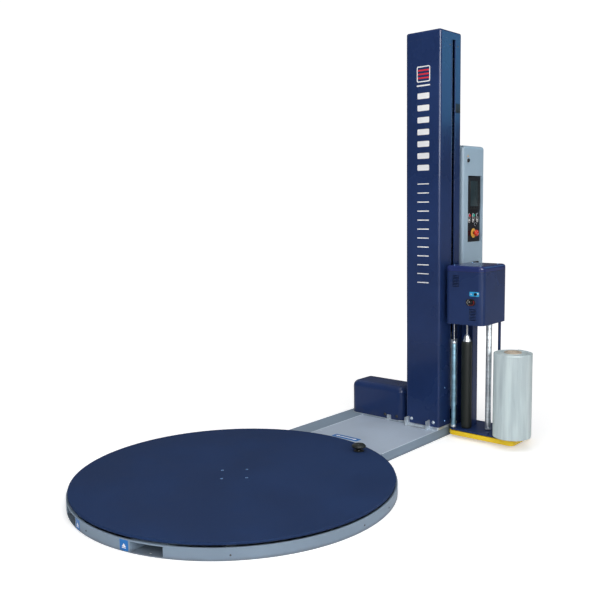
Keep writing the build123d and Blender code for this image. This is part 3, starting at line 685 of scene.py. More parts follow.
class Grain(Effect):
    """Noise stretched by a scale for each axis: brushing, streaks, drawn marks."""

    inputs = {"X": 40.0, "Y": 40.0, "Z": 40.0}
    outputs = ("Height", "Mask")

    @classmethod
    def wire(cls, graph: Graph, given: Given) -> tuple[Socket, ...]:
        """Scales the place and reads noise there."""
        where = graph.vector("MULTIPLY", graph.place(), graph.combine(given["X"], given["Y"], given["Z"]))
        field = graph.noise(where, 1.0, 4.0, 0.6)
        return field, graph.remap(field, 0.38, 0.66)


class Pebble(Effect):
    """Small regular studs of a non-slip coat."""

    inputs = {"Scale": 150.0}
    outputs = ("Height", "Mask")

    @classmethod
    def wire(cls, graph: Graph, given: Given) -> tuple[Socket, ...]:
        """Nearly regular cells, turned a little against the axes."""
        turn = graph.add("ShaderNodeMapping")
        graph.feed(turn.inputs["Vector"], graph.place())
        turn.inputs["Rotation"].default_value = (0.0, 0.0, 0.6)
        cells = graph.add("ShaderNodeTexVoronoi", voronoi_dimensions="2D")
        graph.feed(cells.inputs["Vector"], turn.outputs[0])
        graph.feed(cells.inputs["Scale"], given["Scale"])
        cells.inputs["Randomness"].default_value = 0.3
        stud = graph.remap(cells.outputs["Distance"], 0.42, 0.12)
        return stud, stud


# ------------------------------------------------------------------ finishes
@dataclass(frozen=True)
class Finish:
    """What a surface is made of and how it is worn."""

    name: str
    slot: Slot
    colour: Colour
    roughness: float = 0.5

    def material(self) -> bpy.types.Material:
        """Builds the finish.

        Returns:
            The new material.
        """
        made = bpy.data.materials.new(self.name)
        made.use_nodes = True
        shader = made.node_tree.nodes["Principled BSDF"]
        made.diffuse_color = (*self.colour, 1.0)
        self.shade(Graph(made.node_tree), shader)
        return made

    def shade(self, graph: Graph, shader: bpy.types.Node) -> None:
        """Feeds the shader's sockets."""
        raise NotImplementedError

    def tone(self, factor: float) -> Colour:
        """The colour made lighter or darker."""
        return tuple(min(1.0, c * factor) for c in self.colour)


@dataclass(frozen=True)
class Paint(Finish):
    """Powder coat or enamel on sheet metal."""

    peel: float = 0.05 * MM
    peel_scale: float = 380.0
    coat: float = 0.0
    specular: float = 0.4
    wear: float = 0.4
    wear_radius: float = 1.6 * MM
    bare: Colour = (0.45, 0.46, 0.48)
    # rim_light: how strongly every edge gets a painted highlight, a lighter tone standing in for light caught
    # on the edges
    rim_light: float = 0.0
    dust: float = 0.04
    dust_colour: Colour = (0.42, 0.42, 0.41)
    grime: float = 0.0
    grime_height: float = 0.05
    drift: float = 0.12

    def shade(self, graph: Graph, shader: bpy.types.Node) -> None:
        """Shade drift, a painted highlight along the edges where rim_light is set, rubbed edges, scuffs, dust
        and floor grime over the coat.
        """
        peel = graph.effect(OrangePeel, Scale=self.peel_scale)
        wear = graph.effect(EdgeWearAndHighlight, Radius=self.wear_radius, Amount=self.wear)[0]
        scuffs = graph.effect(Scuffs, Amount=0.6 * self.wear)[0]
        dust = graph.effect(Dust, Amount=self.dust)[0]
        colour = graph.mix(peel["Drift"], self.tone(1 - self.drift), self.tone(1 + self.drift))
        # painted highlight: edges lightened evenly, standing in for light caught on them
        if self.rim_light:
            rim = graph.effect(EdgeWearAndHighlight, Radius=self.wear_radius, Amount=self.rim_light)["Edge"]
            colour = graph.mix(rim, colour, self.tone(1.7))
        colour = graph.mix(wear, colour, self.bare)
        colour = graph.mix(scuffs, colour, self.tone(1.5))
        colour = graph.mix(dust, colour, self.dust_colour)
        if self.grime:
            grime = graph.effect(FloorGrime, Height=self.grime_height, Amount=self.grime)[0]
            colour = graph.mix(grime, colour, (0.11, 0.1, 0.09))
        graph.feed(shader.inputs["Base Color"], colour)
        shine = graph.remap(peel["Drift"], 0.0, 1.0, self.roughness - 0.05, self.roughness + 0.05)
        graph.feed(shader.inputs["Roughness"],
                   graph.math("ADD", shine, graph.math("MULTIPLY", dust, 0.5), clamp=True))
        normal = graph.bump(peel["Height"], self.peel)
        chips = graph.math("MULTIPLY", graph.math("ADD", wear, scuffs), -1.0)
        graph.feed(shader.inputs["Normal"], graph.bump(chips, 0.05 * MM, normal))
        shader.inputs["Coat Weight"].default_value = self.coat
        shader.inputs["Coat Roughness"].default_value = 0.12
        shader.inputs["Specular IOR Level"].default_value = self.specular


@dataclass(frozen=True)
class TreadPaint(Paint):
    """Powder coat with a studded, non-slip texture."""

    stud_scale: float = 150.0
    stud_height: float = 0.35 * MM

    def shade(self, graph: Graph, shader: bpy.types.Node) -> None:
        """Studs over the plain coat, a little paler where pallets rub them."""
        super().shade(graph, shader)
        studs = graph.effect(Pebble, Scale=self.stud_scale)
        under = shader.inputs["Normal"].links[0].from_socket
        graph.feed(shader.inputs["Normal"], graph.bump(studs["Height"], self.stud_height, under))
        colour = shader.inputs["Base Color"].links[0].from_socket
        rubbed = graph.math("MULTIPLY", studs["Mask"], 0.22)
        graph.feed(shader.inputs["Base Color"], graph.mix(rubbed, colour, self.tone(1.7)))


@dataclass(frozen=True)
class Metal(Finish):
    """Bare or plated metal with drawn or brushed grain."""

    grain: Colour = (60.0, 60.0, 60.0)
    depth: float = 0.02 * MM
    stain: float = 0.3
    stain_colour: Colour = (0.12, 0.11, 0.1)
    metallic: float = 1.0
    wear: float = 0.5

    def shade(self, graph: Graph, shader: bpy.types.Node) -> None:
        """Grain in colour, gloss and relief, with stains in the hollows of a coarse noise."""
        grain = graph.effect(Grain, X=self.grain[0], Y=self.grain[1], Z=self.grain[2])
        cloud = graph.effect(OrangePeel, Scale=140.0)
        wear = graph.effect(EdgeWearAndHighlight, Radius=1.0 * MM, Amount=self.wear)[0]
        colour = graph.mix(grain["Mask"], self.tone(0.82), self.tone(1.08))
        stain = graph.math("MULTIPLY", graph.remap(cloud["Drift"], 0.45, 1.0), self.stain)
        colour = graph.mix(stain, colour, self.stain_colour)
        colour = graph.mix(wear, colour, self.tone(1.3))
        graph.feed(shader.inputs["Base Color"], colour)
        rough = graph.remap(grain["Height"], 0.3, 0.7, 0.8 * self.roughness, 1.25 * self.roughness)
        rough = graph.math("ADD", rough, graph.math("MULTIPLY", stain, 0.3), clamp=True)
        graph.feed(shader.inputs["Roughness"], rough)
        graph.feed(shader.inputs["Normal"], graph.bump(grain["Height"], self.depth))
        shader.inputs["Metallic"].default_value = self.metallic


@dataclass(frozen=True)
class Moulded(Finish):
    """Moulded plastic or rubber with a fine skin."""

    skin_scale: float = 900.0
    skin_depth: float = 0.03 * MM
    dust: float = 0.04
    coat: float = 0.0
    specular: float = 0.25

    def shade(self, graph: Graph, shader: bpy.types.Node) -> None:
        """Fine skin, slight drift of shade and dust in patches."""
        skin = graph.effect(OrangePeel, Scale=self.skin_scale)
        scuffs = graph.effect(Scuffs, Scale=24.0, Amount=0.35)[0]
        dust = graph.effect(Dust, Amount=self.dust, Scale=30.0)[0]
        wear = graph.effect(EdgeWearAndHighlight, Radius=0.8 * MM, Amount=0.35, Grain=180.0)[0]
        colour = graph.mix(skin["Drift"], self.tone(0.9), self.tone(1.12))
        colour = graph.mix(graph.math("ADD", wear, scuffs, clamp=True), colour, self.tone(1.8))
        colour = graph.mix(dust, colour, (0.4, 0.4, 0.39))
        graph.feed(shader.inputs["Base Color"], colour)
        rough = graph.remap(skin["Height"], 0.3, 0.7, self.roughness - 0.04, self.roughness + 0.06)
        graph.feed(shader.inputs["Roughness"],
                   graph.math("ADD", rough, graph.math("MULTIPLY", dust, 0.4), clamp=True))
        graph.feed(shader.inputs["Normal"], graph.bump(skin["Height"], self.skin_depth))
        shader.inputs["Coat Weight"].default_value = self.coat
        shader.inputs["Specular IOR Level"].default_value = self.specular


@dataclass(frozen=True)
class WoundFilm(Finish):
    """Many layers of clear stretch film on a roll."""

    shade_colour: Colour = (0.5, 0.6, 0.63)
    streak: float = 19.0

    def shade(self, graph: Graph, shader: bpy.types.Node) -> None:
        """Upright streaks where the layers stick, fine bands where their edges lie, a wet gloss over them."""
        streaks = graph.effect(Grain, X=self.streak, Y=self.streak, Z=1.4)
        bands = graph.effect(Grain, X=2.0, Y=2.0, Z=260.0)
        cloud = graph.effect(OrangePeel, Scale=60.0)
        colour = graph.mix(graph.math("MULTIPLY", streaks["Mask"], 0.7), self.shade_colour, self.colour)
        colour = graph.mix(graph.math("MULTIPLY", cloud["Drift"], 0.2), colour, (0.68, 0.76, 0.78))
        graph.feed(shader.inputs["Base Color"], colour)
        graph.feed(shader.inputs["Roughness"], graph.remap(streaks["Height"], 0.3, 0.7, self.roughness - 0.08,
                                                          self.roughness + 0.14))
        normal = graph.bump(streaks["Height"], 0.25 * MM)
        graph.feed(shader.inputs["Normal"], graph.bump(bands["Height"], 0.12 * MM, normal))
        shader.inputs["Coat Weight"].default_value = 0.25
        shader.inputs["Coat Roughness"].default_value = 0.15
        shader.inputs["Subsurface Weight"].default_value = 0.2
        shader.inputs["Subsurface Radius"].default_value = (0.012, 0.014, 0.015)
        shader.inputs["Subsurface Scale"].default_value = 1.0


@dataclass(frozen=True)
class SpiralCard(Finish):
    """Spiral-wound cardboard."""

    centre: Colour = (0.0, 0.0, 0.0)
    pitch: float = 0.11

    def shade(self, graph: Graph, shader: bpy.types.Node) -> None:
        """One dark helical seam over fibres."""
        away = graph.split(graph.vector("SUBTRACT", graph.place(), self.centre))
        turn = graph.math("DIVIDE", graph.math("ARCTAN2", away[1], away[0]), 2 * math.pi)
        along = graph.math("FRACT", graph.math("ADD", graph.math("DIVIDE", away[2], self.pitch), turn))
        seam = graph.remap(graph.math("ABSOLUTE", graph.math("SUBTRACT", along, 0.5)), 0.02, 0.004)
        fibres = graph.effect(Grain, X=900.0, Y=900.0, Z=120.0)
        colour = graph.mix(fibres["Mask"], self.tone(0.8), self.tone(1.15))
        graph.feed(shader.inputs["Base Color"], graph.mix(seam, colour, self.tone(0.45)))
        graph.feed(shader.inputs["Roughness"], graph.remap(fibres["Height"], 0.3, 0.7, self.roughness - 0.1,
                                                          self.roughness + 0.08))
        relief = graph.math("SUBTRACT", graph.math("MULTIPLY", fibres["Height"], 0.3), seam)
        graph.feed(shader.inputs["Normal"], graph.bump(relief, 0.2 * MM))


class Stock:
    """The finishes of this machine."""

    NAVY = Paint("navy_powder", Slot.NAVY_PAINT, (0.015, 0.036, 0.125), 0.3, specular=0.16, coat=0.24,
                 wear=0.25)
    NAVY_FOOT = Paint("navy_powder_low", Slot.NAVY_PAINT, (0.015, 0.036, 0.125), 0.3, specular=0.16,
                      coat=0.24, wear=0.35, grime=0.3, grime_height=0.22)
    LID = Paint("lid_powder", Slot.HOUSING_PAINT, (0.02, 0.036, 0.16), 0.28, specular=0.2, coat=0.25,
                wear=0.25)
    TREAD = TreadPaint("tread_powder", Slot.TABLE_PAINT, (0.015, 0.036, 0.108), 0.75, specular=0.08, wear=0.4,
                       dust=0.02, dust_colour=(0.1, 0.12, 0.18), drift=0.08)
    # rim_light here and on the lit deck copy paints a highlight along every edge
    GREY = Paint("grey_powder", Slot.GREY_PAINT, (0.235, 0.31, 0.4), 0.45, specular=0.25, wear=0.3,
                 bare=(0.2, 0.19, 0.18), rim_light=0.8, dust=0.06, dust_colour=(0.3, 0.29, 0.27), grime=0.45,
                 grime_height=0.03, drift=0.05)
    # Lit copy of grey_powder for the beam's cover: painted light, a paler colour standing in for the light on
    # the deck's top
    GREY_LIT_DECK = Paint("grey_powder_lit_deck", Slot.GREY_PAINT, (0.43, 0.51, 0.62), 0.45, specular=0.25, wear=0.3,
                 bare=(0.22, 0.21, 0.2), rim_light=0.8, dust=0.06, dust_colour=(0.3, 0.3, 0.3), drift=0.05)
    # painted highlight: pale grey for the strips along the deck's edges
    HIGHLIGHT_STRIP = Paint("painted_highlight_powder", Slot.GREY_PAINT, (0.68, 0.78, 0.88), 0.4, specular=0.3, wear=0.2)
    CABINET = Paint("cabinet_powder", Slot.CABINET_PAINT, (0.4, 0.54, 0.66), 0.42, peel=0.08 * MM,
                    peel_scale=650.0, specular=0.25, wear=0.2, bare=(0.25, 0.25, 0.25), drift=0.05)
    YELLOW = Paint("yellow_gloss", Slot.YELLOW_PAINT, (1.0, 0.66, 0.012), 0.3, coat=0.25, wear=0.4,
                   bare=(0.3, 0.24, 0.12), grime=0.25, grime_height=0.02, drift=0.04)
    ENAMEL = Paint("machine_enamel", Slot.MACHINE_GREY, (0.16, 0.19, 0.21), 0.35, wear=0.4)
    ZINC = Metal("zinc_plate", Slot.GALVANISED, (0.62, 0.69, 0.75), 0.42, grain=(34.0, 34.0, 34.0), stain=0.3,
                 stain_colour=(0.36, 0.38, 0.4), metallic=0.65)
    STEEL = Metal("turned_steel", Slot.STEEL, (0.56, 0.57, 0.58), 0.26, grain=(3.0, 3.0, 700.0))
    OILED = Metal("oiled_steel", Slot.DARK_STEEL, (0.1, 0.1, 0.105), 0.3, grain=(220.0, 220.0, 220.0),
                  stain=0.5,
                  stain_colour=(0.03, 0.025, 0.02))
    BRONZE = Metal("sintered_bronze", Slot.BRONZE, (0.5, 0.3, 0.13), 0.34, grain=(400.0, 400.0, 400.0))
    CHROME = Metal("hard_chrome", Slot.CHROME, (0.76, 0.82, 0.86), 0.34, grain=(4.0, 4.0, 40.0), stain=0.1,
                   depth=0.0005 * MM, metallic=0.85, wear=0.0)
    BLUE_ALLOY = Metal("blue_anodised", Slot.ANODISED_BLUE, (0.28, 0.5, 0.64), 0.38, grain=(3.0, 3.0, 40.0),
                       stain=0.1, depth=0.0005 * MM, metallic=0.6, wear=0.0)
    BLUE_ZINC = Metal("blue_zinc", Slot.BOLT_BLUE, (0.25, 0.45, 0.75), 0.3, stain=0.1)
    RUBBER = Moulded("black_rubber", Slot.RUBBER_BLACK, (0.012, 0.016, 0.014), 0.45, skin_scale=500.0,
                     skin_depth=0.06 * MM, specular=0.3)
    BELT = Moulded("belt_rubber", Slot.BELT_BLACK, (0.018, 0.018, 0.02), 0.7, skin_scale=300.0,
                   skin_depth=0.1 * MM)
    NYLON = Moulded("wheel_nylon", Slot.WHEEL_NYLON, (0.72, 0.7, 0.62), 0.5, skin_scale=400.0)
    PLASTIC = Moulded("black_plastic", Slot.BLACK_PLASTIC, (0.012, 0.012, 0.014), 0.42)
    GLOSS = Moulded("black_gloss", Slot.BLACK_GLOSS, (0.006, 0.007, 0.011), 0.25, skin_depth=0.01 * MM,
                    coat=0.1,
                    dust=0.02)
    SCREEN = Moulded("screen_glass", Slot.BLACK_GLOSS, (0.024, 0.045, 0.055), 0.14, skin_depth=0.002 * MM,
                     coat=0.2, dust=0.0)
    RED = Moulded("signal_red", Slot.RED_PLASTIC, (0.82, 0.045, 0.015), 0.28, coat=0.2, dust=0.03)
    RED_CAP = Moulded("button_red", Slot.RED_BUTTON, (0.72, 0.02, 0.03), 0.3, coat=0.2, dust=0.03)
    GREEN_CAP = Moulded("button_green", Slot.GREEN_PLASTIC, (0.06, 0.5, 0.38), 0.3, coat=0.2, dust=0.03)
    YELLOW_RING = Moulded("signal_yellow", Slot.YELLOW_PAINT, (0.88, 0.48, 0.07), 0.4, dust=0.03)
    WHITE_PRINT = Moulded("white_print", Slot.CABINET_PAINT, (0.95, 0.96, 0.98), 0.42, skin_depth=0.01 * MM,
                          dust=0.02)
    RED_PRINT = Moulded("red_print", Slot.RED_PLASTIC, (0.75, 0.03, 0.05), 0.42, skin_depth=0.01 * MM,
                        dust=0.02)
    BLUE_VINYL = Moulded("blue_vinyl", Slot.BOLT_BLUE, (0.012, 0.17, 0.52), 0.35, skin_depth=0.01 * MM,
                         coat=0.2)
    SKY_VINYL = Moulded("sky_vinyl", Slot.BOLT_BLUE, (0.03, 0.36, 0.68), 0.35, skin_depth=0.01 * MM, coat=0.2)
    RELAY = Moulded("relay_plastic", Slot.ELECTRONICS, (0.3, 0.32, 0.34), 0.5)
    FILM = WoundFilm("stretch_film", Slot.FILM, (0.74, 0.86, 0.87), 0.34)


# ------------------------------------------------------------------ putting pieces together
class Bench:
    """Gives every piece its finish and hangs it on its body."""

    def __init__(self, nodes: Mapping[str, bpy.types.Object]) -> None:
        """Takes the CAD nodes by name."""
        self.nodes = nodes
        self.rack: dict[Finish, bpy.types.Material] = {}
        self.dressed: set[str] = set()

    def material(self, finish: Finish) -> bpy.types.Material:
        """The finish's material, made on first use."""
        if finish not in self.rack:
            self.rack[finish] = finish.material()
        return self.rack[finish]

    def dress(self, node: str, finish: Finish) -> None:
        """Gives a CAD node its finish."""
        slots = self.nodes[node].data.materials
        slots.clear()
        slots.append(self.material(finish))
        self.dressed.add(node)
        LOG.info("dressed %s in %s", node, finish.name)

    def add(self, solid: Solid, name: str, body: Body | str, finish: Finish,
            stands_for: Sequence[str] = ()) -> bpy.types.Object:
        """Makes a piece of a solid.

        Args:
            solid: its mesh, in the row's frame.
            name: of the piece.
            body: the body that it rides on.
            finish: what it is made of.
            stands_for: the CAD nodes that it is shown in place of.

        Returns:
            The piece.
        """
        piece = solid.made(name)
        piece.data.materials.append(self.material(finish))
        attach(piece, str(getattr(body, "value", body)))
        if stands_for:
            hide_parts(*stands_for)
            self.dressed.update(stands_for)
        LOG.info("made %s, %d faces", name, len(piece.data.polygons))
        return piece

    def undressed(self) -> list[str]:
        """CAD nodes that nothing has dressed or replaced."""
        return sorted(set(self.nodes) - self.dressed)


@dataclass
class Assembly:
    """Pieces that are dressed and detailed together."""

    bench: Bench
    coats: ClassVar[dict[str, Finish]] = {}

    def build(self) -> None:
        """Dresses the CAD nodes and adds the pieces."""
        for node, finish in self.coats.items():
            self.bench.dress(node, finish)
        self.detail()

    def detail(self) -> None:
        """Adds the pieces."""


@dataclass
class Foundation(Assembly):
    """Ring, beam and everything that is fixed to them."""

    ring_screw_r: float = 4.2 * MM
    ring_screw_angles: tuple[float, ...] = (174.0, -90.0, -73.6, 84.0, 73.6, 135.0, -135.0)
    ring_screw_z: float = 25 * MM
    sticker_w: float = 46 * MM
    sticker_near_y: float = 150 * MM
    sticker_margin: float = 4 * MM
    sticker_t: float = 0.4 * MM
    label_size: tuple[float, float] = (50 * MM, 190 * MM)
    label_at: tuple[float, float] = (910 * MM, -14 * MM)
    cover_screw_inset: float = 22 * MM
    coats: ClassVar[dict[str, Finish]] = {
        "base_ring": Stock.GREY, "base_pan": Stock.GREY, "fork_tunnels": Stock.GREY, "beam_frame": Stock.GREY,
        "beam_cover": Stock.GREY_LIT_DECK, "pivot_post": Stock.STEEL, "wheel_brackets": Stock.ZINC,
        "mast_base_plate": Stock.ZINC, "foot_brackets": Stock.ZINC, "support_wheel_1": Stock.NYLON,
        "support_wheel_2": Stock.NYLON, "support_wheel_3": Stock.NYLON, "support_wheel_4": Stock.NYLON}

    def detail(self) -> None:
        """Adds screws, stickers and the beam's label."""
        self.ring_screws()
        for number, side in enumerate((-1, 1), 1):
            self.pocket_sticker(side, number)
        self.beam_label()
        self.cover_screws()
        self.foot_bolts()
        self.cover_lip()
        self.deck_highlight_strips()

    @property
    def ring_r(self) -> float:
        """Outer radius of the base ring."""
        return -Extent.of("base_ring").lo.x

    def ring_screws(self) -> None:
        """Button heads round the ring."""
        solid = Solid()
        for angle in self.ring_screw_angles:
            seat = Seat.round(self.ring_r - 0.2 * MM, angle, self.ring_screw_z)
            Fastener.socket_screw(solid, seat, self.ring_screw_r, 2.2 * MM)
        self.bench.add(solid, "ring_screws", Body.BASE, Stock.OILED)

    def pocket_sticker(self, side: int, number: int) -> None:
        """Sticker beside a fork pocket, with an arrowhead on it.

        Args:
            side: sign of its Y.
            number: in its name.
        """
        ring = Extent.of("base_ring")
        low, high = ring.lo.z + self.sticker_margin, ring.hi.z - self.sticker_margin
        reach = self.ring_r + 0.05 * MM
        middle_y = side * (self.sticker_near_y + self.sticker_w / 2)
        middle = math.pi - math.asin(middle_y / self.ring_r)
        half = self.sticker_w / 2 / self.ring_r

        def place(across: float, up: float, height: float) -> Vector:
            """Point of the sticker."""
            angle, radius = middle + half * (2 * across - 1), reach + height
            return Vector((radius * math.cos(angle), radius * math.sin(angle), low + (high - low) * up))

        ground = Solid().patch(place, 10, 6, self.sticker_t)
        self.bench.add(ground, f"pocket_sticker_{number}", Body.BASE, Stock.BLUE_VINYL)
        seat = Seat.round(reach + self.sticker_t, math.degrees(middle), (low + high) / 2)
        arrow = [(-11 * MM, -7 * MM), (11 * MM, -7 * MM), (0, 8 * MM)]
        mark = Solid().prism(seat, arrow, INK, start=-INK)
        mark.prism(seat.moved(0, -11.5 * MM), rounded_rectangle(22 * MM, 3 * MM, 1 * MM), INK, start=-INK)
        self.bench.add(mark, f"pocket_sticker_mark_{number}", Body.BASE, Stock.WHITE_PRINT)

    def beam_label(self) -> None:
        """Blue label on the beam's cover with a double-ended arrow."""
        top = Extent.of("beam_cover").hi.z
        seat = Seat.on(Side.TOP, *self.label_at, top)
        width, length = self.label_size
        self.bench.add(Solid().prism(seat, rounded_rectangle(width, length, 5 * MM), 0.5 * MM, 0.1 * MM),
                       "beam_label", Body.BASE, Stock.BLUE_VINYL)
        mark = Solid().prism(seat, rounded_rectangle(9 * MM, 0.6 * length, 1 * MM), 0.8 * MM, start=0.3 * MM)
        for way in (-1, 1):
            tip = [(-13 * MM, 0), (13 * MM, 0), (0, 22 * MM)]
            points = tip if way == 1 else [(-u, -v) for u, v in tip]
            mark.prism(seat.moved(0, way * 0.3 * length), points, 0.8 * MM, start=0.3 * MM)
        self.bench.add(mark, "beam_label_mark", Body.BASE, Stock.WHITE_PRINT)

    def cover_screws(self) -> None:
        """Low screws that hold the beam's cover."""
        cover = Extent.of("beam_cover")
        solid = Solid()
        near_x, far_x = 1.12 * self.ring_r, cover.hi.x - self.cover_screw_inset
        for x in (near_x, far_x):
            for y in (cover.lo.y + self.cover_screw_inset, cover.hi.y - self.cover_screw_inset):
                Fastener.socket_screw(solid, Seat.on(Side.TOP, x, y, cover.hi.z), 5 * MM, 1.6 * MM)
        self.bench.add(solid, "cover_screws", Body.BASE, Stock.ZINC)

    def foot_bolts(self) -> None:
        """Hexagon heads on washers where the brackets hold mast and drive cover."""
        mast_edge = Extent.of("mast_column").hi.y
        solids = {"mast_bolt_heads": Solid(), "cover_bolt_heads": Solid()}
        for bolt in solids_in("foot_bolts"):
            solid = solids["cover_bolt_heads" if bolt.mid.y > mast_edge else "mast_bolt_heads"]
            seat = Seat.on(Side.MINUS_X, bolt.hi.x, bolt.mid.y, bolt.mid.z)
            Fastener.hex_bolt(solid, seat, bolt.size.z / 2, bolt.size.x)
        self.bench.add(solids["mast_bolt_heads"], "mast_bolt_heads", Body.BASE, Stock.ZINC, ["foot_bolts"])
        self.bench.add(solids["cover_bolt_heads"], "cover_bolt_heads", Body.BASE, Stock.OILED)

    def deck_highlight_strips(self) -> None:
        """Pale strips along the beam's free edge and along the seam of its cover: painted highlights where
        these edges catch the light.
        """
        beam, cover = Extent.of("beam_frame"), Extent.of("beam_cover")
        solid = Solid()
        for y, start, end in ((beam.lo.y + 3 * MM, 0.95 * self.ring_r, beam.hi.x - 5 * MM),
                              (cover.hi.y, 1.01 * self.ring_r, Extent.of("motor_cover").lo.x - 6 * MM)):
            seat = Seat.on(Side.TOP, (start + end) / 2, y, cover.hi.z)
            solid.prism(seat, rounded_rectangle(end - start, 5 * MM, 2.4 * MM), 0.8 * MM, 0.3 * MM, -0.2 * MM)
        self.bench.add(solid, "deck_highlight_strips", Body.BASE, Stock.HIGHLIGHT_STRIP)

    def cover_lip(self) -> None:
        """Bright lip that the drive cover stands in."""
        cover = Extent.of("motor_cover")
        seat = Seat.on(Side.TOP, cover.mid.x, cover.mid.y, cover.lo.z)
        outline = rounded_rectangle(cover.size.x, cover.size.y, 46 * MM, 8)
        lip = Solid().border(seat, inset(outline, -4 * MM), 3.6 * MM, 4 * MM)
        self.bench.add(lip, "cover_lip", Body.BASE, Stock.ZINC)


@dataclass
class Turntable(Assembly):
    """Disc, hub and the clamp that holds the film's end."""

    flute_count: int = 14
    flute_depth: float = 1.4 * MM
    pad_t: float = 2.4 * MM
    coats: ClassVar[dict[str, Finish]] = {
        "table_disc": Stock.TREAD, "table_hub": Stock.STEEL, "bearing_bush": Stock.BRONZE,
        "table_sprocket": Stock.OILED, "clamp_stem": Stock.STEEL}

    def detail(self) -> None:
        """Adds the hub's screws and the film clamp."""
        self.hub_screws()
        self.film_clamp()

    def hub_screws(self) -> None:
        """Cap screws sunk into the disc."""
        solid = Solid()
        for bolt in solids_in("table_bolts"):
            radius, top = bolt.size.x / 2, bolt.size.z
            seat = Seat.on(Side.TOP, bolt.mid.x, bolt.mid.y, bolt.lo.z)
            shank, head = 0.62 * radius, top - 5 * MM
            socket = 0.5 * radius
            outside = [(shank, 0), (shank, head), (radius, head), (radius, top), (1.1 * socket, top)]
            profile = [(0, 0), *softened(outside, 0.5 * MM), (socket, top - 0.4 * MM), (socket, top - 3 * MM),
                       (0, top - 3.4 * MM)]
            solid.turned(seat, profile, 36, rule=hex_socket(socket))
        self.bench.add(solid, "hub_screws", Body.TURNTABLE, Stock.BLUE_ZINC, ["table_bolts"])

    def film_clamp(self) -> None:
        """Fluted knob with a dished top, and the rubber pad that it presses film on."""
        knob = Extent.of("clamp_knob")
        disc_top = Extent.of("table_disc").hi.z
        radius, height = knob.size.x / 2, knob.size.z

        def flutes(angle: float, reach: float, level: float) -> float:
            """Radius of the fluted grip."""
            if reach < 0.9 * radius:
                return reach
            return reach - self.flute_depth * (0.5 - 0.5 * math.cos(self.flute_count * angle)) ** 3

        shares = [(0, 0), (0.34, 0), (0.38, 0.3), (0.9, 0.42), (1, 0.52), (1, 0.66), (0.78, 0.92), (0.45, 1),
                  (0.26, 0.97), (0.2, 0.84), (0, 0.82)]
        profile = softened([(radius * across, height * up) for across, up in shares], 3 * MM, 4)
        seat = Seat.on(Side.TOP, knob.mid.x, knob.mid.y, knob.lo.z)
        self.bench.add(Solid().turned(seat, profile, 112, rule=flutes), "clamp_grip", Body.FILM_CLAMP,
                       Stock.RUBBER, ["clamp_knob"])
        screw = Solid()
        Fastener.socket_screw(screw, seat.moved(0, 0, 0.81 * height), 0.14 * radius, 2.0 * MM)
        self.bench.add(screw, "clamp_screw", Body.FILM_CLAMP, Stock.ZINC)
        foot = Seat.on(Side.TOP, knob.mid.x, knob.mid.y, disc_top)
        inner, outer, low = 7 * MM, 0.7 * radius, 0.1 * MM
        ring = [(inner, low), (outer, low), (outer, self.pad_t), (inner, self.pad_t)]
        self.bench.add(Solid().turned(foot, ring, 48, closed=True), "clamp_pad", Body.TURNTABLE, Stock.RUBBER)


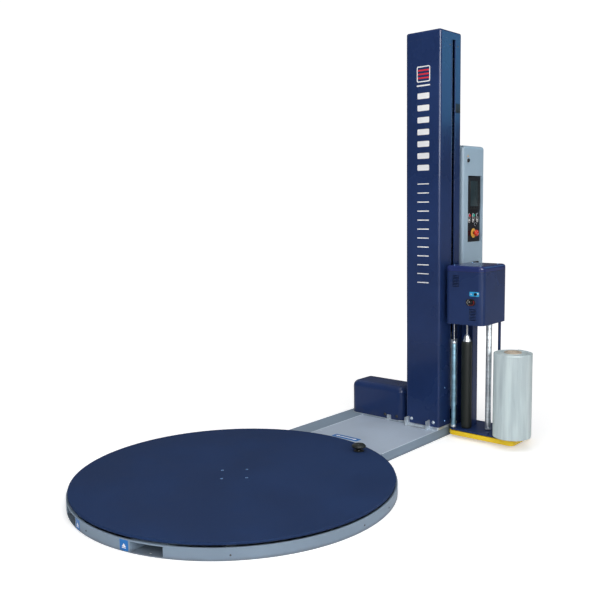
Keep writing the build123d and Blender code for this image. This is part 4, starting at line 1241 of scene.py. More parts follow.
@dataclass
class ChainDrive(Assembly):
    """Sprockets, chain, gearmotor and its cover."""

    pitch: float = 15.875 * MM
    roller_r: float = 4.4 * MM
    plate_r: float = 5.0 * MM
    plate_t: float = 1.0 * MM
    coats: ClassVar[dict[str, Finish]] = {
        "drive_sprocket": Stock.OILED, "drive_gearmotor": Stock.ENAMEL, "motor_cover": Stock.NAVY_FOOT}

    def detail(self) -> None:
        """Adds the chain's links and the cover's screws."""
        self.chain()
        self.cover_screws()

    def chain_line(self) -> list[tuple[Vector, Vector]]:
        """Centres and directions of the chain's links.

        Returns:
            A point and the way along the chain for each link, round the closed loop.
        """
        band, table = Extent.of("drive_chain"), Extent.of("table_sprocket")
        drive = Extent.of("drive_sprocket")
        centres = Vector((0, 0, band.mid.z)), Vector((drive.mid.x, drive.mid.y, band.mid.z))
        thick = -band.lo.x - table.hi.x
        radii = -band.lo.x - thick / 2, drive.size.x / 2 + thick / 2
        span = centres[1] - centres[0]
        heading, lean = math.atan2(span.y, span.x), math.acos((radii[0] - radii[1]) / span.length)
        straight = span.length * math.sin(lean)
        arcs = (2 * math.pi - 2 * lean) * radii[0], 2 * lean * radii[1]
        total = arcs[0] + arcs[1] + 2 * straight
        count = 2 * round(total / self.pitch / 2)
        line = []
        for k in range(count):
            way = total * k / count
            line.append(self.along(way, heading, lean, radii, centres, straight))
        return line

    @staticmethod
    def along(way: float, heading: float, lean: float, radii: tuple[float, float],
              centres: tuple[Vector, Vector], straight: float) -> tuple[Vector, Vector]:
        """Point and direction at a distance along the loop.

        Args:
            way: distance from where the chain leaves the large sprocket.
            heading: of the line between the sprockets.
            lean: half the angle of wrap on the small sprocket.
            radii: of the loop round the two sprockets.
            centres: of the two sprockets.
            straight: length of each straight run.

        Returns:
            The point and the unit direction.
        """
        def polar(angle: float) -> Vector:
            """Unit vector at an angle."""
            return Vector((math.cos(angle), math.sin(angle), 0))

        wraps = 2 * lean * radii[1], (2 * math.pi - 2 * lean) * radii[0]
        for side, radius, wrap, home in ((-1, radii[1], wraps[0], 1), (1, radii[0], wraps[1], 0)):
            start = polar(heading + side * lean)
            out = Vector((-start.y, start.x, 0))
            begin = centres[1 - home] + start * radii[1 - home]
            if way < straight:
                return begin + out * way, out
            way -= straight
            if way < wrap:
                turn = heading + side * lean + way / radius
                return centres[home] + polar(turn) * radius, polar(turn + math.pi / 2)
            way -= wrap
        return centres[0] + polar(heading - lean) * radii[0], polar(heading - lean + math.pi / 2)

    def chain(self) -> None:
        """Rollers, and inner and outer plates in turn."""
        solid = Solid()
        line = self.chain_line()
        band = Extent.of("drive_chain")
        half = band.size.z / 2
        for k, (here, _) in enumerate(line):
            there = line[(k + 1) % len(line)][0]
            middle, way = (here + there) / 2, (there - here)
            gap = half - self.plate_t * (1 if k % 2 else 2.05)
            up = Vector((0, 0, 1)).cross(way.normalized())
            for low in (-gap - self.plate_t, gap):
                seat = Seat(middle + Vector((0, 0, low)), way.normalized(), up)
                solid.prism(seat, self.plate_outline(way.length), self.plate_t)
            roller = Seat.on(Side.TOP, here.x, here.y, here.z - half + 2.1 * self.plate_t)
            solid.turned(roller, [(self.roller_r, 0), (self.roller_r, 2 * half - 4.2 * self.plate_t)], 12)
        self.bench.add(solid, "roller_chain", Body.BASE, Stock.OILED, ["drive_chain"])

    def plate_outline(self, length: float) -> Outline:
        """Waisted outline of a chain plate.

        Args:
            length: between its two pins.

        Returns:
            The outline about its centre.
        """
        ends = []
        for sign in (1, -1):
            for degrees in (-60, -20, 20, 60):
                angle = math.radians(degrees)
                ends.append((sign * (length / 2 + self.plate_r * math.cos(angle)),
                             sign * self.plate_r * math.sin(angle)))
            ends.append((0.0, sign * 0.72 * self.plate_r))
        return ends

    def cover_screws(self) -> None:
        """Screws low on the drive cover's free sides."""
        cover = Extent.of("motor_cover")
        solid = Solid()
        z = cover.lo.z + 24 * MM
        for share in (0.3, 0.7):
            x = cover.lo.x + share * cover.size.x
            Fastener.socket_screw(solid, Seat.on(Side.PLUS_Y, x, cover.hi.y, z), 5 * MM, 3 * MM)
            y = cover.lo.y + share * cover.size.y
            Fastener.socket_screw(solid, Seat.on(Side.PLUS_X, cover.hi.x, y, z), 5 * MM, 3 * MM)
        self.bench.add(solid, "drive_cover_screws", Body.BASE, Stock.ZINC)


@dataclass(frozen=True)
class BarRow:
    """Equal printed bars, one above another."""

    count: int
    first_z: float
    pitch: float
    height: float
    corner: float


@dataclass
class Mast(Assembly):
    """Column, cap and what is on their faces."""

    slot_half: float = 20 * MM
    slot_x: float = 1528 * MM
    trim: float = 3 * MM
    window_size: tuple[float, float] = (54 * MM, 53 * MM)
    window_z: float = 2002 * MM
    low_screws: tuple[tuple[float, float], ...] = (
        (1447 * MM, 309 * MM), (1447 * MM, 101 * MM), (1568 * MM, 101 * MM))
    high_screws: tuple[tuple[float, float], ...] = ((1487 * MM, 2362 * MM), (1575 * MM, 2362 * MM))
    mark_w: float = 82 * MM
    mark_ink: float = 0.25 * MM
    bar_rows: tuple[BarRow, ...] = (BarRow(7, 1650 * MM, 70 * MM, 34 * MM, 6 * MM),
                                    BarRow(12, 960 * MM, 54 * MM, 6 * MM, 2.8 * MM))
    sign_w: float = 92 * MM
    sign_z: float = 2196 * MM
    sign_bands: tuple[float, ...] = (-22 * MM, 0.0, 22 * MM)
    coats: ClassVar[dict[str, Finish]] = {"mast_column": Stock.NAVY_FOOT, "mast_cap": Stock.NAVY}

    def detail(self) -> None:
        """Adds trim, window, screws and printed marks."""
        self.slot_trim()
        self.window()
        self.screws()
        self.printed_marks()

    def slot_trim(self) -> None:
        """Edging in navy powder coat on both sides of the carriage's slot."""
        column = Extent.of("mast_column")
        solid = Solid()
        length = column.size.z - 4 * MM
        for side in (-1, 1):
            x = self.slot_x + side * (self.slot_half - 0.2 * self.trim)
            seat = Seat.on(Side.MINUS_Y, x, column.lo.y, column.mid.z)
            solid.prism(seat, rounded_rectangle(2 * self.trim, length, 1.2 * MM), 1.8 * MM, 0.8 * MM, -6 * MM)
        self.bench.add(solid, "slot_edging", Body.BASE, Stock.NAVY)

    def window(self) -> None:
        """Small black cover near the top of the column."""
        column = Extent.of("mast_column")
        width, height = self.window_size
        x = (self.slot_x + self.slot_half + column.hi.x - 13 * MM) / 2
        seat = Seat.on(Side.MINUS_Y, x, column.lo.y, self.window_z)
        solid = Solid().prism(seat, rounded_rectangle(width, height, 6 * MM), 3 * MM, 1.2 * MM, -1 * MM)
        rim = rounded_rectangle(0.82 * width, 0.82 * height, 4 * MM)
        solid.border(seat, rim, 1.6 * MM, 3.6 * MM, 2.6 * MM)
        self.bench.add(solid, "mast_window", Body.BASE, Stock.PLASTIC)

    def screws(self) -> None:
        """Small screws on the column's front and on the cap."""
        column, cap = Extent.of("mast_column"), Extent.of("mast_cap")
        bright, dark = Solid(), Solid()
        for solid, places in ((bright, self.low_screws), (dark, self.high_screws)):
            for x, z in places:
                Fastener.socket_screw(solid, Seat.on(Side.MINUS_Y, x, column.lo.y, z), 4.2 * MM, 2.6 * MM)
        low = cap.lo.z + 18 * MM
        for share in (0.3, 0.7):
            y = cap.lo.y + share * cap.size.y
            x = cap.lo.x + share * cap.size.x
            Fastener.socket_screw(dark, Seat.on(Side.PLUS_X, cap.hi.x, y, low), 4 * MM, 2.4 * MM)
            Fastener.socket_screw(dark, Seat.on(Side.PLUS_Y, x, cap.hi.y, low), 4 * MM, 2.4 * MM)
        self.bench.add(bright, "mast_foot_screws", Body.BASE, Stock.BLUE_ZINC)
        self.bench.add(dark, "mast_cap_screws", Body.BASE, Stock.OILED)

    def printed_marks(self) -> None:
        """Plain printed bars, and a sign of a load with bands of film round it."""
        column = Extent.of("mast_column")
        face = Seat.on(Side.MINUS_X, column.lo.x, column.mid.y - 4 * MM, 0.0)
        ink = self.mark_ink
        bars = Solid()
        for row in self.bar_rows:
            outline = rounded_rectangle(self.mark_w, row.height, row.corner)
            for k in range(row.count):
                bars.prism(face.moved(0, row.first_z + row.pitch * k), outline, ink, start=-ink)
        load = face.moved(0, self.sign_z)
        bars.border(load, rounded_rectangle(self.sign_w, self.sign_w, 10 * MM), 6 * MM, ink, -ink)
        bars.prism(load.moved(0, -66 * MM), rounded_rectangle(self.sign_w, 8 * MM, 2 * MM), ink, start=-ink)
        self.bench.add(bars, "mast_marks", Body.BASE, Stock.WHITE_PRINT)
        bands = Solid()
        for v in self.sign_bands:
            bands.prism(load.moved(0, v), rounded_rectangle(80 * MM, 9 * MM, 2 * MM), ink, start=-ink)
        self.bench.add(bands, "mast_mark_bands", Body.BASE, Stock.RED_PRINT)


@dataclass
class Lift(Assembly):
    """Rails, belt and pulleys inside the mast."""

    coats: ClassVar[dict[str, Finish]] = {
        "guide_rails": Stock.STEEL, "guide_shoes": Stock.PLASTIC, "slider_plate": Stock.ZINC,
        "lift_belt": Stock.BELT, "lift_top_pulley": Stock.STEEL, "lift_bottom_pulley": Stock.STEEL,
        "lift_drive": Stock.ENAMEL}


@dataclass
class Carriage(Assembly):
    """Housing, column, plates and rollers that travel up the mast."""

    label_at: tuple[float, float] = (-579 * MM, 905 * MM)
    label_size: tuple[float, float] = (63 * MM, 27 * MM)
    lock_r: float = 9 * MM
    dial_size: tuple[float, float] = (64 * MM, 42 * MM)
    collar_h: float = 16 * MM
    gasket_t: float = 1.6 * MM
    sleeve_r: float = 32 * MM
    coats: ClassVar[dict[str, Finish]] = {
        "carriage_column": Stock.NAVY, "housing_shell": Stock.NAVY, "housing_lid": Stock.LID,
        "bottom_plate": Stock.NAVY, "bumper": Stock.YELLOW, "idler_shafts": Stock.STEEL,
        "brake_coil": Stock.ENAMEL, "reel_spindle": Stock.STEEL}

    def detail(self) -> None:
        """Adds what is on the housing, and the three rollers."""
        self.housing_label()
        self.tension_dial()
        self.lid_parts()
        self.brake_roller()
        self.idler("front_idler_roller", Body.FRONT_IDLER, Stock.BLUE_ALLOY, "blue_idler")
        self.idler("rear_idler_roller", Body.REAR_IDLER, Stock.CHROME, "bright_idler")

    def housing_label(self) -> None:
        """Light label round the housing's lock."""
        shell = Extent.of("housing_shell")
        seat = Seat.on(Side.MINUS_X, shell.lo.x, *self.label_at)
        width, height = self.label_size
        label = Solid().prism(seat, rounded_rectangle(width, height, 5 * MM), 0.6 * MM, 0.2 * MM, -0.5 * MM)
        self.bench.add(label, "housing_label", Body.CARRIAGE, Stock.SKY_VINYL)
        centre = seat.moved(9 * MM, 0)
        lock = Solid().turned(centre, softened([(0, 0), (self.lock_r, 0), (self.lock_r, 7 * MM), (0, 7 * MM)],
                                               1.5 * MM), 40)
        lock.prism(centre.moved(0, 0, 7 * MM), rounded_rectangle(3 * MM, 13 * MM, 1 * MM), 1.6 * MM, 0.4 * MM,
                   -0.5 * MM)
        self.bench.add(lock, "housing_lock", Body.CARRIAGE, Stock.GLOSS)
        low, high = 0.4 * MM, 0.9 * MM
        mark = Solid().prism(seat.moved(24 * MM, 4 * MM), circle(4 * MM, 20), high, start=low)
        mark.prism(seat.moved(-21 * MM, 0), rounded_rectangle(10 * MM, 3 * MM, 1 * MM), high, start=low)
        self.bench.add(mark, "housing_label_mark", Body.CARRIAGE, Stock.WHITE_PRINT)

    def tension_dial(self) -> None:
        """Oval bezel with a scale, and the knob with its pointer."""
        knob, shell = Extent.of("tension_knob"), Extent.of("housing_shell")
        centre = Seat.on(Side.MINUS_X, shell.lo.x, knob.mid.y, knob.mid.z)
        width, height = self.dial_size
        oval = rounded_rectangle(width, height, height / 2, 12)
        plate = rounded_rectangle(width - 12 * MM, height - 12 * MM, height / 2, 12)
        bezel = Solid().border(centre, oval, 7 * MM, 3.2 * MM, -0.5 * MM)
        bezel.prism(centre, plate, 0.9 * MM, start=-0.4 * MM)
        self.bench.add(bezel, "dial_bezel", Body.CARRIAGE, Stock.PLASTIC)
        ticks = {"dial_scale": (Stock.WHITE_PRINT, range(120, 241, 20)),
                 "dial_scale_end": (Stock.RED_PRINT, range(250, 391, 20))}
        for name, (finish, angles) in ticks.items():
            scale = Solid()
            for degrees in angles:
                angle = math.radians(degrees)
                away = centre.moved(22 * MM * math.cos(angle), 16.5 * MM * math.sin(angle), 3.2 * MM)
                scale.prism(away, circle(1.5 * MM, 12), INK, start=-INK)
            self.bench.add(scale, name, Body.CARRIAGE, finish)
        grip_r, grip_h = 12.5 * MM, 14 * MM

        def knurl(angle: float, radius: float, height_at: float) -> float:
            """Radius of the knurled grip."""
            return radius - 0.5 * MM * (0.5 + 0.5 * math.cos(18 * angle)) if radius > 0.9 * grip_r else radius

        shape = [(0, 0), (grip_r, 0), (grip_r, grip_h), (0.4 * grip_r, grip_h), (0, grip_h)]
        bar = rounded_rectangle(5 * MM, 22 * MM, 2 * MM)
        grip = Solid().turned(centre.moved(0, 0, 1 * MM), softened(shape, 1.8 * MM), 90, rule=knurl)
        grip.turned(centre.moved(0, 0, -18 * MM), [(5 * MM, 0), (5 * MM, 19.2 * MM)], 24)
        grip.prism(centre.moved(0, 0, 15 * MM), bar, 4 * MM, 1 * MM, -0.5 * MM)
        self.bench.add(grip, "tension_grip", Body.TENSION_DIAL, Stock.PLASTIC, ["tension_knob"])
        stroke = rounded_rectangle(1.4 * MM, 9 * MM, 0.6 * MM)
        line = Solid().prism(centre.moved(0, 5 * MM, 19 * MM), stroke, INK, start=-INK)
        self.bench.add(line, "tension_pointer", Body.TENSION_DIAL, Stock.WHITE_PRINT)

    def lid_parts(self) -> None:
        """Gasket under the lid, and its screws."""
        lid, shell = Extent.of("housing_lid"), Extent.of("housing_shell")
        seat = Seat.on(Side.TOP, shell.mid.x, shell.mid.y, lid.lo.z)
        outline = rounded_rectangle(shell.size.x, shell.size.y, 35 * MM, 10)
        half = self.gasket_t / 2
        gasket = Solid().border(seat, inset(outline, -0.35 * MM), 2.4 * MM, half, -half)
        self.bench.add(gasket, "lid_gasket", Body.CARRIAGE, Stock.RUBBER)
        screws = Solid()
        for su, sv in ((-1, -1), (-1, 1), (1, -1), (1, 1)):
            x, y = lid.mid.x + su * 0.36 * lid.size.x, lid.mid.y + sv * 0.34 * lid.size.y
            place = Seat.on(Side.TOP, x, y, lid.hi.z)
            Fastener.socket_screw(screws, place, 4.5 * MM, 2.2 * MM)
        self.bench.add(screws, "lid_screws", Body.CARRIAGE, Stock.BLUE_ZINC)

    def brake_roller(self) -> None:
        """Rubber sleeve with a chrome cone, its shaft and the brake's armature."""
        whole, plate = Extent.of("rubber_roller"), Extent.of("bottom_plate")
        coil, front = Extent.of("brake_coil"), Extent.of("front_idler_roller")
        sleeve_r, shaft_r = self.sleeve_r, 6 * MM
        x, y = coil.mid.x, coil.mid.y
        low, top = plate.hi.z - 2 * MM, front.hi.z
        seat = Seat.on(Side.TOP, x, y, low)
        height = top - low

        def ground(angle: float, radius: float, level: float) -> float:
            """Radius with the shallow grinding waves of a rubber sleeve."""
            return radius + 0.08 * MM * math.sin(level * 2200) if radius > 0.98 * sleeve_r else radius

        levels = [height * k / 60 for k in range(1, 60)]
        profile = [(shaft_r, 0), (sleeve_r - 1.6 * MM, 0), *[(sleeve_r - 0.1 * MM, z) for z in levels],
                   (sleeve_r - 1.6 * MM, height), (shaft_r, height)]
        self.bench.add(Solid().turned(seat, profile, 64, closed=True, rule=ground), "rubber_sleeve",
                       Body.BRAKE_ROLLER, Stock.RUBBER, ["rubber_roller"])
        cone = softened([(0, 0), (0.78 * sleeve_r, 0), (0.74 * sleeve_r, 6 * MM), (0.42 * sleeve_r, 36 * MM),
                         (0.3 * sleeve_r, 42 * MM), (0, 42 * MM)], 2 * MM)
        bright = Solid().turned(seat.moved(0, 0, height), cone, 48)
        self.bench.add(bright, "roller_cone", Body.BRAKE_ROLLER, Stock.CHROME)
        above = height + 41 * MM
        foot = Seat.on(Side.TOP, x, y, whole.lo.z)
        shaft = Solid().turned(foot, [(shaft_r, 0), (shaft_r, low - whole.lo.z)], 32)
        shaft.turned(seat.moved(0, 0, above), [(shaft_r, 0), (shaft_r, whole.hi.z - low - above)], 32)
        face = coil.hi.z - low + 2 * MM
        armature = coil.size.x / 2 - 4 * MM
        shaft.turned(seat, softened([(shaft_r, face), (armature, face), (armature, face + 12 * MM),
                                     (shaft_r, face + 12 * MM)], 1 * MM), 64)
        self.bench.add(shaft, "roller_shaft", Body.BRAKE_ROLLER, Stock.STEEL)

    def idler(self, node: str, body: Body, finish: Finish, name: str) -> None:
        """Tube with a collar and a bearing in each end.

        Args:
            node: the plain roller in the CAD.
            body: that it turns as.
            finish: of the tube.
            name: of the tube.
        """
        plain = Extent.of(node)
        radius, height = plain.size.x / 2, plain.size.z
        bore = 4.1 * MM
        seat = Seat.on(Side.TOP, plain.mid.x, plain.mid.y, plain.lo.z)
        tube = softened([(0.8 * radius, 1 * MM), (radius, 1 * MM), (radius, height - 1 * MM),
                         (0.8 * radius, height - 1 * MM)], 1 * MM)
        self.bench.add(Solid().turned(seat, [*tube, tube[0]], 48), name, body, finish, [node])
        collars = Solid()
        for start, end in ((0.0, self.collar_h), (height - self.collar_h, height)):
            ring = [(bore, start), (0.78 * radius, start), (0.78 * radius, end), (bore, end)]
            collars.turned(seat, ring, 40, closed=True)
            inner, outer = radius - 0.3 * MM, radius + 0.5 * MM
            grip = [(outer, start + 2.5 * MM), (outer, end - 2.5 * MM),
                    (inner, end - 1 * MM), (inner, start + 1 * MM)]
            collars.turned(seat, grip, 48, closed=True)
        self.bench.add(collars, name + "_collars", body, Stock.ZINC)


@dataclass
class FilmReel(Assembly):
    """Cardboard core and the film that is wound on it."""

    seed: int = 7
    rows: int = 64
    layers: int = 26
    segments: int = 96
    bore_r: float = 38 * MM
    windings_bore_r: float = 49.2 * MM
    axis: Vector = field(init=False)

    def detail(self) -> None:
        """Adds core, roll and the loose end of the film."""
        roll = Extent.of("film_roll")
        self.axis = Vector((roll.mid.x, roll.mid.y, roll.lo.z))
        self.core()
        self.roll()
        self.loose_end()

    def core(self) -> None:
        """Cardboard tube."""
        core = Extent.of("film_core")
        outer, inner, height = core.size.x / 2, self.bore_r, core.size.z
        seat = Seat.on(Side.TOP, self.axis.x, self.axis.y, core.lo.z)
        wall = softened([(inner, 0.5 * height), (inner, 0), (outer, 0), (outer, height), (inner, height),
                         (inner, 0.5 * height)], 1.2 * MM)
        card = SpiralCard("spiral_card", Slot.CARDBOARD, (0.55, 0.46, 0.36), 0.8,
                          centre=tuple(Vector((self.axis.x, self.axis.y, 0.0))))
        solid = Solid().turned(seat, wall[:-1], 64, closed=True)
        self.bench.add(solid, "card_core", Body.REEL, card, ["film_core"])

    def roll(self) -> None:
        """Wound film: wavy outside, and ends whose layers stand a little in and out."""
        draw = random.Random(self.seed)
        roll = Extent.of("film_roll")
        outer, inner, height = roll.size.x / 2, self.windings_bore_r, roll.size.z
        phases = [draw.uniform(0, 2 * math.pi) for _ in range(5)]

        def wavy(angle: float, radius: float, level: float) -> float:
            """Radius of the roll, pulled in a little where the layers are tight."""
            if radius < 0.97 * outer:
                return radius
            swell = sum(math.sin((k + 1) * angle + p + 9 * level * (k + 1)) for k, p in enumerate(phases)) / 5
            return radius - (0.6 + 0.6 * swell) * MM

        steps = [draw.uniform(-0.9, 0.9) * MM for _ in range(self.layers + 1)]
        radii = [inner + (outer - 1.2 * MM - inner) * k / self.layers for k in range(self.layers + 1)]
        bottom = [(r, 1 * MM + abs(s)) for r, s in zip(radii, steps)]
        top = [(r, height - 1.2 * MM + s) for r, s in zip(reversed(radii), steps)]
        wall = [(outer - (0.5 * MM if k in (0, self.rows) else 0), 3 * MM + (height - 6 * MM) * k / self.rows)
                for k in range(self.rows + 1)]
        seat = Seat.on(Side.TOP, *self.axis)
        self.bench.add(Solid().turned(seat, [*bottom, *wall, *top], self.segments, closed=True, rule=wavy),
                       "film_windings", Body.REEL, Stock.FILM, ["film_roll"])

    def loose_end(self) -> None:
        """The film's last turn: a thin sheet that lifts from the roll at its free edge."""
        draw = random.Random(self.seed + 1)
        roll = Extent.of("film_roll")
        radius, height = roll.size.x / 2, roll.size.z
        ragged = [draw.uniform(-1, 1) for _ in range(60)]
        start, sweep = math.radians(-62), math.radians(74)

        def place(across: float, up: float, out: float) -> Vector:
            """Point of the sheet."""
            angle = start + sweep * across
            free = across ** 6
            jag = ragged[int(across * 37)] * 1.1 * MM + 2.5 * MM * free
            lift = 2.2 * MM * free * (0.4 + 0.6 * math.sin(math.pi * up))
            reach = radius + 0.1 * MM + out + lift + 0.3 * MM * up
            level = 4 * MM + (height - 5.5 * MM + jag) * up
            return self.axis + Vector((reach * math.cos(angle), reach * math.sin(angle), level))

        self.bench.add(Solid().patch(place, 48, 24, 0.35 * MM), "film_loose_end", Body.REEL, Stock.FILM)


@dataclass
class Cabinet(Assembly):
    """Electrical cabinet with its controls."""

    gasket_t: float = 3 * MM
    bezel: float = 2.2 * MM
    ring_r: float = 30 * MM
    plate_w: float = 76 * MM
    plate_t: float = 4.4 * MM
    lug_bolt_ends: tuple[float, float] = (110 * MM, 90 * MM)
    lug_bolt_insets: tuple[float, float] = (40 * MM, 100 * MM)
    estop_arrow: ClassVar[Outline] = [(-2 * MM, -3 * MM), (2 * MM, -3 * MM), (0, 3.4 * MM)]
    lock_mark: ClassVar[Outline] = [(-9 * MM, -6 * MM), (9 * MM, -6 * MM), (0, 9 * MM)]
    coats: ClassVar[dict[str, Finish]] = {
        "cabinet_body": Stock.CABINET, "cabinet_cover": Stock.CABINET, "control_panel": Stock.GLOSS,
        "hmi_unit": Stock.PLASTIC, "control_gear": Stock.RELAY}

    def detail(self) -> None:
        """Adds the display, the controls, gasket and marks."""
        self.display()
        for number, finish in enumerate((Stock.RED_CAP, Stock.GREEN_CAP, Stock.PLASTIC), 1):
            self.push_button(number, finish)
        self.selector()
        self.emergency_stop()
        self.main_switch()
        self.lock()
        self.seams()

    def display(self) -> None:
        """Glass in the display's sunk window, a rim round it and a row of keys below."""
        unit = Extent.of("hmi_unit")
        seat = Seat.on(Side.MINUS_Y, unit.mid.x, unit.lo.y, unit.mid.z - 2 * MM)
        width, height = unit.size.x - 48 * MM, unit.size.z - 44 * MM
        pane = rounded_rectangle(width - 1 * MM, height - 1 * MM, 3 * MM)
        glass = Solid().prism(seat, pane, -0.5 * MM, 0.2 * MM, -1.4 * MM)
        self.bench.add(glass, "display_glass", Body.BASE, Stock.SCREEN)
        surround = rounded_rectangle(width + 8 * MM, height + 8 * MM, 5 * MM)
        rim = Solid().border(seat, surround, 3 * MM, 0.9 * MM, -0.3 * MM)
        for k in range(4):
            key = seat.moved((k - 1.5) * 0.22 * unit.size.x, -unit.size.z / 2 + 12 * MM)
            rim.prism(key, rounded_rectangle(16 * MM, 8 * MM, 3 * MM), 1.2 * MM, 0.5 * MM, -0.3 * MM)
        self.bench.add(rim, "display_rim", Body.BASE, Stock.GLOSS)

    def push_button(self, number: int, finish: Finish) -> None:
        """A push button, its bright ring and the white outline of its legend plate.

        Args:
            number: of the button, from the left.
            finish: of its cap.
        """
        name = f"push_button_{number}"
        cap, panel = Extent.of(name), Extent.of("control_panel")
        radius = cap.size.x / 2
        seat = Seat.on(Side.MINUS_Y, cap.mid.x, panel.lo.y, cap.mid.z)
        reach = panel.lo.y - cap.lo.y
        foot = 3.5 * MM
        head = [(0, foot), (radius, foot), (radius, reach - 0.6 * MM), (0.72 * radius, reach),
                (0.6 * radius, reach - 0.5 * MM), (0, reach - 0.9 * MM)]
        button = Solid().turned(seat, softened(head, 0.8 * MM), 48)
        stem = 5 * MM
        button.turned(seat, [(stem, panel.lo.y - cap.hi.y), (stem, 3.6 * MM)], 24)
        self.bench.add(button, f"button_cap_{number}", f"button_{number}", finish, [name])
        inner, outer, sunk, rim = radius + 0.4 * MM, radius + self.bezel, -0.4 * MM, 2 * MM
        ring = [(inner, sunk), (outer, sunk), (outer, rim), (radius + 0.9 * MM, 2.6 * MM), (inner, rim)]
        solid = Solid().turned(seat, ring, 48, closed=True)
        self.bench.add(solid, f"button_ring_{number}", Body.BASE, Stock.ZINC)
        legend = seat.moved(0, -16 * MM)
        plate = rounded_rectangle(25.6 * MM, 57.6 * MM, 12.7 * MM, 12)
        printed = Solid().border(legend, plate, 3.2 * MM, INK, -INK)
        printed.prism(legend.moved(0, -13 * MM), circle(6 * MM, 24), INK, start=-INK)
        self.bench.add(printed, f"legend_print_{number}", Body.BASE, Stock.WHITE_PRINT)

    def selector(self) -> None:
        """Turning knob with a raised grip and a white line."""
        knob, panel = Extent.of("selector_knob"), Extent.of("control_panel")
        radius = 9 * MM
        seat = Seat.on(Side.MINUS_Y, knob.mid.x, panel.lo.y, knob.mid.z)
        reach = panel.lo.y - knob.lo.y
        shape = [(0, 1 * MM), (radius, 1 * MM), (0.92 * radius, 8 * MM), (0, 8 * MM)]
        body = Solid().turned(seat, softened(shape, 1.2 * MM), 48)
        body.prism(seat, rounded_rectangle(5 * MM, 17 * MM, 2 * MM), reach, 1 * MM, 7 * MM)
        body.turned(seat, [(5 * MM, panel.lo.y - knob.hi.y), (5 * MM, 1.1 * MM)], 24)
        self.bench.add(body, "selector_grip", Body.SELECTOR, Stock.PLASTIC, ["selector_knob"])
        line = Solid().prism(seat.moved(0, 4 * MM, reach), rounded_rectangle(1.8 * MM, 8 * MM, 0.8 * MM), INK,
                             start=-INK)
        self.bench.add(line, "selector_line", Body.SELECTOR, Stock.WHITE_PRINT)
        inner, outer = radius + 0.6 * MM, radius + 2.4 * MM
        ring = [(inner, -INK), (outer, -INK), (outer, 1.4 * MM), (inner, 1.8 * MM)]
        self.bench.add(Solid().turned(seat, ring, 48, closed=True), "selector_ring", Body.BASE, Stock.ZINC)

    def emergency_stop(self) -> None:
        """Mushroom head with turn-to-release arrows over a yellow ring."""
        head, panel = Extent.of("estop_head"), Extent.of("control_panel")
        radius, reach = head.size.x / 2, panel.lo.y - head.lo.y
        seat = Seat.on(Side.MINUS_Y, head.mid.x, panel.lo.y, head.mid.z)
        neck = 0.55 * radius

        def ribs(angle: float, at: float, level: float) -> float:
            """Radius of the ribbed rim."""
            return at - 0.5 * MM * (0.5 + 0.5 * math.cos(24 * angle)) if at > 0.97 * radius else at

        foot = 8.5 * MM
        outside = [(0, foot), (neck, foot), (neck, reach - 17 * MM), (0.9 * radius, reach - 16 * MM),
                   (radius, reach - 12 * MM), (radius, reach - 6 * MM), (0.8 * radius, reach - 1 * MM),
                   (0.3 * radius, reach), (0, reach)]
        solid = Solid().turned(seat, softened(outside, 3 * MM, 4), 96, rule=ribs)
        self.bench.add(solid, "estop_mushroom", Body.ESTOP, Stock.RED, ["estop_head"])
        stem = Solid().turned(seat, [(8 * MM, panel.lo.y - head.hi.y), (8 * MM, 8.6 * MM)], 32)
        self.bench.add(stem, "estop_stem", Body.ESTOP, Stock.PLASTIC)
        arrows = Solid()
        for k in range(3):
            angle = math.radians(90 + 120 * k)
            cos, sin = math.cos(angle), math.sin(angle)
            away = seat.moved(0.5 * radius * cos, 0.5 * radius * sin, reach - 0.45 * MM)
            turned = Seat(away.origin, away.right * cos + away.up * sin, away.up * cos - away.right * sin)
            arrows.prism(turned, self.estop_arrow, 0.35 * MM, start=-0.6 * MM)
        self.bench.add(arrows, "estop_arrows", Body.ESTOP, Stock.WHITE_PRINT)
        bore, top = 9 * MM, 3.4 * MM
        ring = softened([(bore, -INK), (self.ring_r, -INK), (self.ring_r, 1.4 * MM), (0.7 * self.ring_r, top),
                         (bore, top)], 0.6 * MM)
        solid = Solid().turned(seat, ring, 64, closed=True)
        self.bench.add(solid, "estop_yellow_ring", Body.BASE, Stock.YELLOW_RING)

    def main_switch(self) -> None:
        """Rotary isolator: square plate, dial and handle."""
        knob, cover = Extent.of("main_switch"), Extent.of("cabinet_cover")
        seat = Seat.on(Side.MINUS_Y, knob.mid.x, cover.lo.y, knob.mid.z)
        reach = cover.lo.y - knob.lo.y
        square = rounded_rectangle(self.plate_w, self.plate_w, 8 * MM)
        plate = Solid().prism(seat, square, self.plate_t, 1.4 * MM, -1 * MM)
        self.bench.add(plate, "switch_plate", Body.BASE, Stock.PLASTIC)
        marks = Solid()
        for degrees in (90, 180):
            angle = math.radians(degrees)
            spot = seat.moved(33 * MM * math.cos(angle), 33 * MM * math.sin(angle), self.plate_t)
            marks.prism(spot, circle(2.4 * MM, 16), INK, start=-INK)
        self.bench.add(marks, "switch_marks", Body.BASE, Stock.WHITE_PRINT)
        dial_r = 0.36 * self.plate_w
        dial = [(0, 5 * MM), (dial_r, 5 * MM), (0.94 * dial_r, 16 * MM), (0, 16 * MM)]
        turn = Solid().turned(seat, softened(dial, 2 * MM), 64)
        turn.prism(seat, rounded_rectangle(14 * MM, 0.8 * self.plate_w, 6 * MM), reach, 2.5 * MM, 14 * MM)
        turn.turned(seat, [(8 * MM, cover.lo.y - knob.hi.y), (8 * MM, 5.1 * MM)], 32)
        self.bench.add(turn, "switch_handle", Body.POWER_SWITCH, Stock.PLASTIC, ["main_switch"])
        line = Solid().prism(seat.moved(0, 16 * MM, reach), rounded_rectangle(2.4 * MM, 20 * MM, 1 * MM), INK,
                             start=-INK)
        self.bench.add(line, "switch_line", Body.POWER_SWITCH, Stock.WHITE_PRINT)

